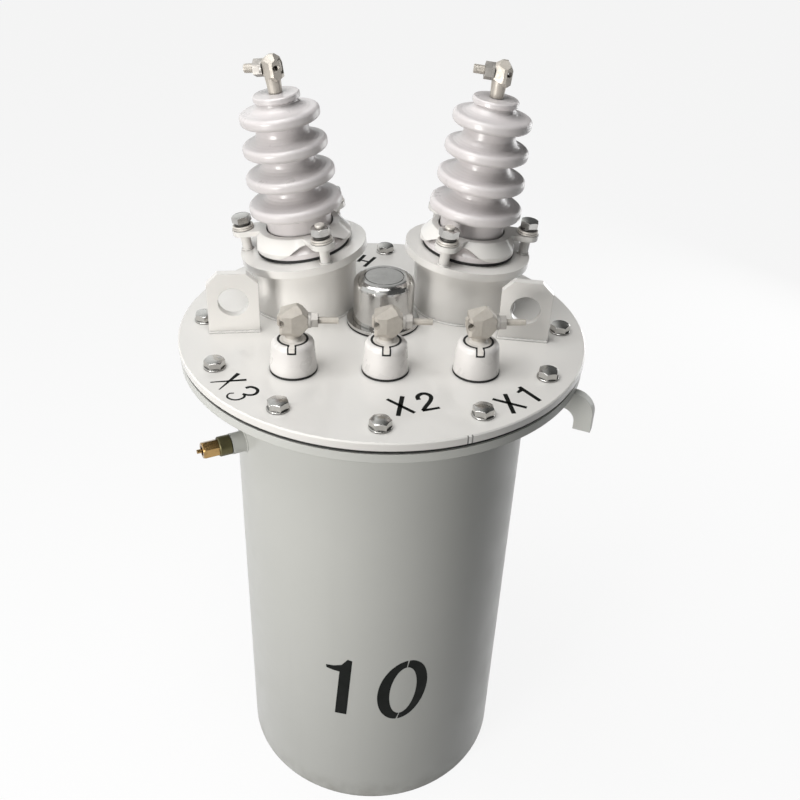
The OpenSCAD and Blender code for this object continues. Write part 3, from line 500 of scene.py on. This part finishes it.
def new_piece(name, bm, material):
    """Turns a bmesh into a piece that rides on the body."""
    bmesh.ops.remove_doubles(bm, verts=bm.verts, dist=MERGE_DISTANCE)
    bmesh.ops.recalc_face_normals(bm, faces=bm.faces)
    mesh = bpy.data.meshes.new(name)
    bm.to_mesh(mesh)
    bm.free()
    for polygon in mesh.polygons:
        polygon.use_smooth = True
    mesh.set_sharp_from_angle(angle=SHARP_ANGLE)
    mesh.materials.append(material)
    piece = bpy.data.objects.new(name, mesh)
    bpy.context.scene.collection.objects.link(piece)
    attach(piece, "root")


def bridge(bm, rings):
    """Quads between neighbouring rings of vertices."""
    for lower, upper in zip(rings, rings[1:]):
        count = len(lower)
        for i in range(count):
            j = (i + 1) % count
            distinct = list(dict.fromkeys([lower[i], lower[j], upper[j], upper[i]]))
            if len(distinct) >= 3:
                bm.faces.new(distinct)


def circle(count):
    """Angles evenly round a circle."""
    return [2 * math.pi * i / count for i in range(count)]


def lathe(bm, profile, place, segments=48):
    """Solid of revolution about local Z; profile is (radius, height) from axis to axis."""
    rings = []
    for radius, height in profile:
        if radius == 0:
            rings.append([bm.verts.new(place @ Vector((0, 0, height)))] * segments)
            continue
        rings.append([bm.verts.new(place @ Vector((radius * math.cos(a), radius * math.sin(a), height)))
                      for a in circle(segments)])
    bridge(bm, rings)


def hexagon_solid(bm, place, flats, height, chamfer_both=False):
    """Bolt head or nut: six flats, with the turned chamfer that cuts the corners."""
    apothem = flats / 2
    flat_r = apothem * HEX_FACE_SHARE
    slope = math.tan(HEX_CHAMFER)

    def ring(radius_of, height_of):
        verts = []
        for angle in circle(6 * HEX_PER_SIDE):
            off = angle % (math.pi / 3) - math.pi / 6
            corner = apothem / math.cos(off)
            radius = radius_of(corner)
            point = Vector((radius * math.cos(angle), radius * math.sin(angle), height_of(corner)))
            verts.append(bm.verts.new(place @ point))
        return verts

    top_edge = ring(lambda c: c, lambda c: height - (c - flat_r) * slope)
    top_face = ring(lambda c: flat_r, lambda c: height)
    if chamfer_both:
        low_edge = ring(lambda c: c, lambda c: (c - flat_r) * slope)
        low_face = ring(lambda c: flat_r, lambda c: 0.0)
        rings = [low_face, low_edge, top_edge, top_face]
    else:
        low_face = ring(lambda c: c, lambda c: 0.0)
        rings = [low_face, top_edge, top_face]
    bridge(bm, rings)
    bm.faces.new(top_face)
    bm.faces.new(list(reversed(low_face)))


def washer(bm, place, radius, thickness):
    """Flat washer with slightly rounded edges."""
    soft = thickness * SOFT_EDGE_SHARE
    lathe(bm, [(0, 0), (radius - soft, 0), (radius, soft), (radius, thickness - soft),
               (radius - soft, thickness), (0, thickness)], place)


def round_end(bm, place, radius, height):
    """End of a stud, with a rounded edge."""
    soft = radius * SOFT_EDGE_SHARE
    arc = [(radius - soft + soft * math.cos(a), height - soft + soft * math.sin(a))
           for a in (math.radians(angle) for angle in range(0, 91, 15))]
    lathe(bm, [(0, 0), (radius, 0), *arc, (0, height)], place)


def thread(bm, place, radius, start, end, pitch=M10_PITCH, segments=28):
    """Threaded rod along local Z: a helical ridge from start to end, with a pointed end."""
    depth = pitch * THREAD_DEPTH_SHARE
    count = int((end - start) / pitch * THREAD_RINGS_PER_PITCH)
    rings = []
    for k in range(count + 1):
        along = start + (end - start) * k / count
        fade = min(1.0, (end - along) / pitch)
        ring = []
        for i in range(segments):
            turn = i / segments
            phase = (along / pitch - turn) % 1.0
            ridge = 1 - abs(2 * phase - 1)
            r = radius + depth * (ridge - THREAD_ROOT_SHARE) * fade
            angle = 2 * math.pi * turn
            ring.append(bm.verts.new(place @ Vector((r * math.cos(angle), r * math.sin(angle), along))))
        rings.append(ring)
    bridge(bm, rings)
    bm.faces.new(list(reversed(rings[0])))
    tip_r, tip_z = radius * THREAD_TIP_R_SHARE, end + radius * THREAD_TIP_H_SHARE
    tip = [bm.verts.new(place @ Vector((tip_r * math.cos(a), tip_r * math.sin(a), tip_z)))
           for a in circle(segments)]
    bridge(bm, [rings[-1], tip])
    bm.faces.new(tip)


def weld_bead(bm, path, radius, closed, lean=WELD_LEAN):
    """Weld bead along a path of points, with the ripples of the arc; lean is no direction of the path."""
    rings = []
    count = len(path)
    for i, point in enumerate(path):
        before = path[i - 1] if closed or i > 0 else path[i]
        after = path[(i + 1) % count] if closed or i < count - 1 else path[i]
        along = (after - before).normalized()
        side = along.cross(lean).normalized()
        over = side.cross(along)
        r = radius * (1 + WELD_RIPPLE * math.sin(i * math.pi / 2))
        rings.append([bm.verts.new(point + side * (r * math.cos(a)) + over * (r * math.sin(a)))
                      for a in circle(WELD_SIDES)])
    if closed:
        bridge(bm, rings + [rings[0]])
    else:
        bridge(bm, rings)
        bm.faces.new(list(reversed(rings[0])))
        bm.faces.new(rings[-1])


# Places

def turn_z(angle):
    """Rotation about Z by an angle in degrees."""
    return Matrix.Rotation(math.radians(angle), 4, "Z")


def on_bolt_circle(index, z):
    """Frame on the cover's bolt circle."""
    angle = BOLT_FIRST + 2 * math.pi * index / BOLT_COUNT
    place = Matrix.Translation((BOLT_CIRCLE_R * math.cos(angle), BOLT_CIRCLE_R * math.sin(angle), z))
    return place @ turn_z(index * BOLT_SPIN % HEX_TURN)


def hv_frame(side):
    """Leaning frame of a high voltage bushing, on its ring's top."""
    data = HV_SIDES[side]
    lean = Matrix.Rotation(math.radians(data["lean"]), 4, "Y")
    return Matrix.Translation((*data["place"], COVER_TOP + TURRET_RING_TOP)) @ lean


def ear_frame(side, index, height):
    """Frame on a clamp ear of a bushing."""
    turn = HV_SIDES[side]["clamp_turn"] + index * EAR_STEP
    return hv_frame(side) @ turn_z(turn) @ Matrix.Translation((EAR_CIRCLE_R, 0, height))


def along_x():
    """Turns local Z onto the X axis."""
    return Matrix.Rotation(math.radians(90), 4, "Y")


# Fasteners

def make_cover_bolts():
    """Hexagon bolts through the cover and flange, with washers, nuts and thread ends."""
    heads, plates, under = bmesh.new(), bmesh.new(), bmesh.new()
    flip = Matrix.Rotation(math.pi, 4, "X")
    nut_end = WASHER_T + M10_NUT_H
    for i in range(BOLT_COUNT):
        washer(plates, on_bolt_circle(i, COVER_TOP), WASHER_R, WASHER_T)
        hexagon_solid(heads, on_bolt_circle(i, COVER_TOP + WASHER_T), M10_FLATS, M10_HEAD_H)
        below = on_bolt_circle(i, FLANGE_UNDER) @ flip
        washer(under, below, UNDER_WASHER_R, WASHER_T)
        hexagon_solid(under, below @ Matrix.Translation((0, 0, WASHER_T)), M10_FLATS, M10_NUT_H, True)
        thread(under, below, M10_SHANK_R, nut_end, nut_end + BOLT_END)
    new_piece("cover_bolt_heads", heads, STAINLESS)
    new_piece("cover_bolt_washers", plates, STAINLESS)
    new_piece("cover_bolt_nuts", under, STAINLESS)


def make_clamp_bolts():
    """Bolts and studs that hold the porcelain's clamps down, each on washers and a spring washer."""
    for side in HV_SIDES:
        bright, pale, dark = bmesh.new(), bmesh.new(), bmesh.new()
        for i in range(EAR_COUNT):
            for k in range(CLAMP_WASHER_COUNT):
                seat = ear_frame(side, i, EAR_TOP + k * CLAMP_WASHER_T)
                washer(pale, seat, CLAMP_WASHER_R - k * WASHER_STEP, CLAMP_WASHER_T)
            washers_top = EAR_TOP + CLAMP_WASHER_COUNT * CLAMP_WASHER_T
            washer(dark, ear_frame(side, i, washers_top), SPRING_WASHER_R, SPRING_WASHER_T)
            turn = turn_z(CLAMP_HEAD_TURN + CLAMP_HEAD_STEP * i)
            head = ear_frame(side, i, washers_top + SPRING_WASHER_T) @ turn
            if (side, i) in STUD_EARS:
                hexagon_solid(bright, head, M10_FLATS, M10_NUT_H, True)
                round_end(pale, head @ Matrix.Translation((0, 0, M10_NUT_H)), STUD_END_R, STUD_END_H)
            else:
                hexagon_solid(bright, head, M10_FLATS, M10_HEAD_H)
        new_piece("clamp_bolts_" + side, bright, STAINLESS)
        new_piece("clamp_washers_" + side, pale, PALE_ZINC)
        new_piece("clamp_spring_washers_" + side, dark, SPRING_STEEL)


def make_terminal_threads():
    """Threads on the clamp bolts of the terminals."""
    bm = bmesh.new()
    for number, x in LV_X.items():
        place = Matrix.Translation((x, LV_Y, LV_AXIS_Z)) @ turn_z(LV_TURN[number]) @ along_x()
        thread(bm, place, LV_ROD_R, *LV_THREAD, pitch=LV_PITCH)
    for side in HV_SIDES:
        axis = hv_frame(side) @ Matrix.Translation((0, 0, HV_AXIS_Z)) @ turn_z(HV_TERMINAL_TURN[side])
        thread(bm, axis @ along_x(), HV_ROD_R, *HV_THREAD, pitch=HV_PITCH)
    new_piece("terminal_threads", bm, TINNED)


# Seals, which also stand for the shade deep in the gaps

def lv_wall_r(z):
    """Radius of a low voltage insulator's shoulder at a height."""
    drop = max(LV_TOP - z, 0)
    if drop >= LV_ROUND:
        return LV_TOP_R
    return LV_TOP_R - LV_ROUND + math.sqrt(LV_ROUND ** 2 - (LV_ROUND - drop) ** 2)


def seal_outline(half_w, low, top):
    """Points down one side of the key's place, along its floor and up the other side."""
    side = [top + (low - top) * k / SEAL_SIDE_STEPS for k in range(SEAL_SIDE_STEPS + 1)]
    floor = [(half_w * (2 * k / SEAL_FLOOR_STEPS - 1), low) for k in range(1, SEAL_FLOOR_STEPS)]
    return [(-half_w, z) for z in side] + floor + [(half_w, z) for z in reversed(side)]


def make_seals_and_gap_shade():
    """Black rubber round each low voltage disc and its key, with a thin lip on both sides; this black ring
    is partly a seal and partly painted shade filling the gap.
    """
    bm = bmesh.new()
    inner_r, outer_r = LV_DISC_R - SEAL_LIP, LV_RECESS_R + SEAL_LIP
    top, floor = LV_TOP + SEAL_PROUD, LV_TOP - LV_RECESS_H / 2
    key_low = LV_TOP - LV_KEY_H
    inside = seal_outline(LV_KEY_HALF_W - SEAL_LIP, key_low + SEAL_LIP, top)
    outside = seal_outline(LV_KEY_HALF_W + LV_KEY_GAP + SEAL_LIP, key_low - LV_KEY_GAP - SEAL_LIP, top)
    open_angle = math.asin((LV_KEY_HALF_W - SEAL_LIP) / inner_r)
    turns = [math.radians(-90) + open_angle + (2 * math.pi - 2 * open_angle) * k / SEAL_RING_STEPS
             for k in range(SEAL_RING_STEPS + 1)]
    section = ((inner_r, floor), (outer_r, floor), (outer_r, top), (inner_r, top))
    for x in LV_X.values():
        place = Matrix.Translation((x, LV_Y, 0))
        ring_rows = [[Vector((r * math.cos(a), r * math.sin(a), z)) for r, z in section] for a in turns]
        key_rows = []
        for near, far in zip(inside, outside):
            row = []
            for px, pz in (near, far):
                front = math.sqrt((lv_wall_r(pz) + SEAL_PROUD) ** 2 - px ** 2)
                back = math.sqrt(LV_DISC_R ** 2 - px ** 2)
                row.append((Vector((px, -back, pz)), Vector((px, -front, pz))))
            key_rows.append([row[0][0], row[0][1], row[1][1], row[1][0]])
        for rows in (ring_rows, key_rows):
            rings = [[bm.verts.new(place @ corner) for corner in row] for row in rows]
            bridge(bm, rings)
            bm.faces.new(list(reversed(rings[0])))
            bm.faces.new(rings[-1])
    new_piece("lv_seals_and_gap_shade", bm, RUBBER)


# Welds

def ripple_count(length, step):
    """Number of points along a closed bead: a whole number of its four-point ripples."""
    return int(length / step) // 4 * 4


def circle_path(place, radius):
    """Points round a circle in a frame's XY plane."""
    count = max(CIRCLE_LEAST, ripple_count(2 * math.pi * radius, WELD_STEP))
    return [place @ Vector((radius * math.cos(a), radius * math.sin(a), 0)) for a in circle(count)]


def line_path(start, end):
    """Points along a straight line."""
    start, end = Vector(start), Vector(end)
    count = max(2, int((end - start).length / WELD_STEP))
    return [start.lerp(end, i / count) for i in range(count + 1)]


def saddle_path(turn, z, radius):
    """Points round the foot of a pipe that stands out of the tank."""
    points = []
    for angle in circle(ripple_count(2 * math.pi * radius, STUB_WELD_STEP)):
        across, up = radius * math.cos(angle), radius * math.sin(angle)
        points.append(turn_z(turn) @ Vector((math.sqrt(TANK_R ** 2 - across ** 2), across, z + up)))
    return points


def make_welds():
    """Beads where turrets, posts, eyes, hooks, valve and brackets are welded on."""
    cover, tank = bmesh.new(), bmesh.new()
    for side, data in HV_SIDES.items():
        foot = Matrix.Translation((*data["place"], COVER_TOP))
        weld_bead(cover, circle_path(foot, TURRET_R + WELD_GAP), TURRET_WELD_R, True)
        for i in range(EAR_COUNT):
            post = ear_frame(side, i, POST_WELD_LIFT)
            weld_bead(cover, circle_path(post, POST_R + WELD_GAP), POST_WELD_R, True)
    for eye in EYES.values():
        place = turn_z(eye["turn"])
        ends = (eye["middle"] - EYE_HALF_W, eye["middle"] + EYE_HALF_W)
        for face in (-EYE_HALF_T, EYE_HALF_T):
            start, end = (place @ Vector((x, face, COVER_TOP)) for x in ends)
            weld_bead(cover, line_path(start, end), PLATE_WELD_R, False)
    for turn in HOOK_TURNS:
        place = turn_z(turn)
        ends = (FLANGE_UNDER - HOOK_ROOT, FLANGE_UNDER - PLATE_WELD_CLEAR)
        for face in (-HOOK_HALF_T, HOOK_HALF_T):
            start, end = (place @ Vector((TANK_R, face, z)) for z in ends)
            weld_bead(tank, line_path(start, end), PLATE_WELD_R, False)
    stub_low, stub_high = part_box("valve_stub")
    stub_r, stub_z = (stub_high.z - stub_low.z) / 2, (stub_high.z + stub_low.z) / 2
    outward = turn_z(VALVE_TURN) @ Vector((1, 0, 0))
    weld_bead(tank, saddle_path(VALVE_TURN, stub_z, stub_r + STUB_WELD_GAP), STUB_WELD_R, True, outward)
    for bracket in ("pole_bracket_upper", "pole_bracket_lower"):
        low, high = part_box(bracket)
        for x in (low.x, high.x):
            y = math.sqrt(TANK_R ** 2 - x ** 2)
            weld_bead(tank, line_path((x, y, low.z), (x, y, high.z)), BRACKET_WELD_R, False)
    new_piece("cover_welds", cover, COVER_PAINT)
    new_piece("tank_welds", tank, TANK_PAINT)


# Painted marks

def stroke(points, widths):
    """Left and right edges of a brush stroke along points, with a width at each point."""
    edges = []
    for i, point in enumerate(points):
        before, after = points[max(i - 1, 0)], points[min(i + 1, len(points) - 1)]
        along = Vector((after[0] - before[0], after[1] - before[1])).normalized()
        across = Vector((-along.y, along.x))
        half = widths[i] / 2
        middle = Vector(point)
        edges.append((middle + across * half, middle - across * half))
    return edges


def resample(points, widths):
    """Adds points along a polyline so that no step is longer than a mark's step."""
    dense, dense_widths = [points[0]], [widths[0]]
    for (a, b), (wa, wb) in zip(zip(points, points[1:]), zip(widths, widths[1:])):
        count = max(1, math.ceil(math.hypot(b[0] - a[0], b[1] - a[1]) / COVER_MARK_STEP))
        for k in range(1, count + 1):
            t = k / count
            dense.append((a[0] + (b[0] - a[0]) * t, a[1] + (b[1] - a[1]) * t))
            dense_widths.append(wa + (wb - wa) * t)
    return dense, dense_widths


def smooth_path(points, rounds=2):
    """Rounds a polyline's corners, keeping its ends."""
    far = 1 - CORNER_CUT
    for _ in range(rounds):
        cut = [points[0]]
        for a, b in zip(points, points[1:]):
            cut.append((a[0] * far + b[0] * CORNER_CUT, a[1] * far + b[1] * CORNER_CUT))
            cut.append((a[0] * CORNER_CUT + b[0] * far, a[1] * CORNER_CUT + b[1] * far))
        cut.append(points[-1])
        points = cut
    return points


def even_widths(points, first, last):
    """Widths that change evenly along a path."""
    return [first + (last - first) * i / (len(points) - 1) for i in range(len(points))]


def add_strip(bm, edges, surface):
    """Thin slab of paint between two edge lines, laid on a surface that may be curved."""
    def layer(height):
        return [[bm.verts.new(surface(*first.lerp(last, k / MARK_ROWS), height))
                 for k in range(MARK_ROWS + 1)] for first, last in edges]

    low, high = layer(MARK_LIFT - MARK_T), layer(MARK_LIFT)
    for i in range(len(edges) - 1):
        for k in range(MARK_ROWS):
            for sheet in (low, high):
                bm.faces.new([sheet[i][k], sheet[i][k + 1], sheet[i + 1][k + 1], sheet[i + 1][k]])
        for k in (0, MARK_ROWS):
            bm.faces.new([low[i][k], low[i + 1][k], high[i + 1][k], high[i][k]])
    for i in (0, len(edges) - 1):
        for k in range(MARK_ROWS):
            bm.faces.new([low[i][k], low[i][k + 1], high[i][k + 1], high[i][k]])


def tank_surface(arc, z, height):
    """A point on the tank's front: arc and height up the tank in millimetres."""
    angle = math.radians(-90) + arc * MM / TANK_R
    radius = TANK_R + height
    return Vector((radius * math.cos(angle), radius * math.sin(angle), z * MM))


def cover_surface(x, y, height):
    """A point on the cover's top, in millimetres from the axis."""
    return Vector((x * MM, y * MM, COVER_TOP + height))


def slanted_ellipse(angle, centre, radii, slant):
    """A point of an ellipse that leans to the right."""
    x, z = radii[0] * math.cos(angle), radii[1] * math.sin(angle)
    return Vector((centre[0] + x + slant * z, centre[1] + z))


def pairs_between(first, last):
    """Edge pairs between two polylines with the same number of points."""
    pairs = []
    for i in range(len(first) - 1):
        a0, a1, b0, b1 = (Vector(p) for p in (first[i], first[i + 1], last[i], last[i + 1]))
        count = max(1, math.ceil((a1 - a0).length / TANK_MARK_STEP))
        pairs += [(a0.lerp(a1, k / count), b0.lerp(b1, k / count)) for k in range(count)]
    pairs.append((Vector(first[-1]), Vector(last[-1])))
    return pairs


def make_tank_number():
    """The figures on the tank's front: a flagged one, and a slanted nought with stencil bridges."""
    bm = bmesh.new()
    stem = pairs_between([(-46, 144.8), (-40.8, 212.8)], [(-32.9, 145.3), (-28.2, 212.8)])
    add_strip(bm, stem, tank_surface)
    flag = pairs_between([(-56.1, 218.9), (-47.5, 220.4), (-38.6, 223.8), (-31.9, 233.3), (-26.9, 232.1)],
                         [(-55.4, 214.7), (-47.5, 213.2), (-40.8, 212.8), (-33, 212.8), (-28.2, 212.8)])
    add_strip(bm, flag, tank_surface)
    for bridge_at in (90, 270):
        edges = []
        for k in range(NOUGHT_STEPS + 1):
            sweep = (180 - 2 * NOUGHT_BRIDGE) * k / NOUGHT_STEPS
            angle = math.radians(bridge_at + NOUGHT_BRIDGE + sweep)
            edges.append((slanted_ellipse(angle, **NOUGHT_OUTER), slanted_ellipse(angle, **NOUGHT_INNER)))
        add_strip(bm, edges, tank_surface)
    new_piece("tank_number", bm, MARK)


def make_phase_marks():
    """Letters and figures beside the bushings on the cover, in millimetres from the axis."""
    bm = bmesh.new()

    def draw(points, first, last, curved=False):
        """One brush stroke, with its width at the start and at the end."""
        path = smooth_path(points) if curved else points
        dense, widths = resample(path, even_widths(path, first, last))
        add_strip(bm, stroke(dense, widths), cover_surface)

    # Middle low voltage bushing: X2
    draw([(0.4, -133.5), (23.9, -154.3)], 3.2, 3.4)
    draw([(14.2, -128.6), (9.3, -159.3)], 4.2, 4)
    draw([(28.3, -134), (27, -128), (33, -122.6), (40, -127), (39, -135), (33.5, -145.2), (31.3, -150.9)],
         4.2, 3.6, curved=True)
    draw([(30.6, -150.9), (46.1, -146)], 3.4, 3)
    # Right low voltage bushing: X1
    draw([(94, -131.4), (122.6, -144.5)], 3.4, 3.4)
    draw([(106.2, -122.9), (110, -153.9)], 4, 4)
    draw([(120.7, -111.1), (136.3, -133.5)], 4, 4)
    draw([(117.8, -120.6), (122.4, -115.4)], 2.4, 4.4)
    # Left low voltage bushing: X3
    draw([(-156.4, -109.4), (-124.9, -104.5)], 1.4, 3.2)
    draw([(-133.1, -93.8), (-147.2, -121.2)], 4, 1)
    draw([(-124.3, -118), (-119.5, -115.4), (-112.5, -120.5), (-114.5, -128.5), (-121, -129.8),
          (-126, -127.6)], 3.2, 2.6, curved=True)
    draw([(-124, -129.2), (-124, -134), (-131.3, -138.4), (-139.5, -134), (-138.5, -127),
          (-133.6, -126.6)], 2.4, 1.4, curved=True)
    # Between the high voltage bushings: H
    draw([(-17.4, 165.3), (-25, 147.3)], 4, 4)
    draw([(-5.7, 159.7), (-18.1, 134.7)], 4, 4)
    draw([(-23.2, 152.1), (-12.9, 147.2)], 3, 3)
    new_piece("phase_marks", bm, MARK)


# Stage

def ray_kinds(tree):
    """Whether a ray is the camera's, whether it is a mirrored one, and whether it is either."""
    path = tree.nodes.new("ShaderNodeLightPath")
    camera = path.outputs["Is Camera Ray"]
    mirror = combine(tree, "MAXIMUM", path.outputs["Is Glossy Ray"], path.outputs["Is Transmission Ray"])
    return camera, mirror, combine(tree, "MAXIMUM", camera, mirror)


def make_floor():
    """Plain pale floor that keeps the object's shadow."""
    material, tree, shader = new_material("floor")
    seen = ray_kinds(tree)[2]
    tone = blend_colour(tree, seen, (FLOOR_BOUNCE,) * 3, (FLOOR_TONE,) * 3)
    tree.links.new(tone, shader.inputs["Base Color"])
    shader.inputs["Roughness"].default_value = 0.9
    shader.inputs["Specular IOR Level"].default_value = 0.1
    glow = tree.nodes.new("ShaderNodeEmission")
    mix = tree.nodes.new("ShaderNodeMixShader")
    tree.links.new(combine(tree, "MULTIPLY", seen, FLOOR_GLOW), mix.inputs["Fac"])
    tree.links.new(shader.outputs["BSDF"], mix.inputs[1])
    tree.links.new(glow.outputs["Emission"], mix.inputs[2])
    tree.links.new(mix.outputs["Shader"], tree.nodes["Material Output"].inputs["Surface"])
    bm = bmesh.new()
    corners = ((-1, -1), (1, -1), (1, 1), (-1, 1))
    bm.faces.new([bm.verts.new((x * FLOOR_HALF, y * FLOOR_HALF, 0)) for x, y in corners])
    mesh = bpy.data.meshes.new("floor")
    bm.to_mesh(mesh)
    bm.free()
    mesh.materials.append(material)
    floor = bpy.data.objects.new("floor", mesh)
    bpy.context.scene.collection.objects.link(floor)


def add_lamp(name, place, target, size, power, colour=(1, 1, 1)):
    """Soft square lamp that points at a target."""
    data = bpy.data.lights.new(name, "AREA")
    data.shape = "RECTANGLE"
    data.size, data.size_y = size, size
    data.energy = power
    data.color = colour
    lamp = bpy.data.objects.new(name, data)
    lamp.location = place
    lamp.rotation_euler = (Vector(target) - Vector(place)).to_track_quat("-Z", "Y").to_euler()
    bpy.context.scene.collection.objects.link(lamp)


def make_light():
    """Window light from the front left, a lamp overhead and a weak fill behind."""
    add_lamp("window", place=(-0.98, -1.06, 0.62), target=(0, 0, 1.3), size=0.5, power=16.2,
             colour=(1, 0.985, 0.96))
    add_lamp("overhead", place=(-0.4, -0.25, 1.95), target=(0, 0, 0.55), size=1.1, power=18)
    add_lamp("fill", place=(1.2, 1.0, 0.65), target=(0, 0, 0.45), size=0.9, power=6)


def make_room():
    """Dim room with a white backdrop, which mirrors see darker at the top and on the right."""
    world = bpy.data.worlds.new("soft_room")
    bpy.context.scene.world = world
    world.use_nodes = True
    tree = world.node_tree
    background = tree.nodes["Background"]
    background.inputs["Color"].default_value = ROOM_COLOUR
    source = tree.nodes.new("ShaderNodeTexCoord")
    split = tree.nodes.new("ShaderNodeSeparateXYZ")
    tree.links.new(source.outputs["Generated"], split.inputs["Vector"])
    across, up = split.outputs["X"], split.outputs["Z"]
    camera, mirror, seen = ray_kinds(tree)
    room = combine(tree, "ADD", ramp(tree, across, -0.9, 0.8, ROOM_LEFT, ROOM_RIGHT),
                   ramp(tree, up, 0.2, 0.9, 0, ROOM_TOP))
    backdrop = combine(tree, "MULTIPLY", ramp(tree, up, 0.55, 0.98, 1, BACKDROP_TOP),
                       ramp(tree, across, -0.12, 0.22, 1, BACKDROP_RIGHT))
    unseen = combine(tree, "SUBTRACT", 1, seen)
    parts = combine(tree, "ADD", combine(tree, "MULTIPLY", room, unseen),
                    combine(tree, "MULTIPLY", backdrop, mirror))
    tree.links.new(combine(tree, "ADD", parts, camera), background.inputs["Strength"])


def make_camera():
    """Camera at the photograph's place, looking the photograph's way."""
    data = bpy.data.cameras.new("camera")
    data.sensor_width = SENSOR_MM
    data.lens = CAMERA_FOCAL_PX / PHOTO_PX * SENSOR_MM
    data.clip_end = CAMERA_REACH
    camera = bpy.data.objects.new("camera", data)
    look = (turn_z(-CAMERA_YAW)
            @ Matrix.Rotation(math.radians(90 + CAMERA_PITCH), 4, "X")
            @ turn_z(-CAMERA_ROLL))
    camera.matrix_world = Matrix.Translation(CAMERA_PLACE) @ look
    bpy.context.scene.collection.objects.link(camera)
    bpy.context.scene.camera = camera


dress_cad_nodes()
make_cover_bolts()
make_clamp_bolts()
make_terminal_threads()
make_seals_and_gap_shade()
make_welds()
make_tank_number()
make_phase_marks()
make_floor()
make_light()
make_room()
make_camera()
bpy.context.scene.view_settings.view_transform = "Standard"
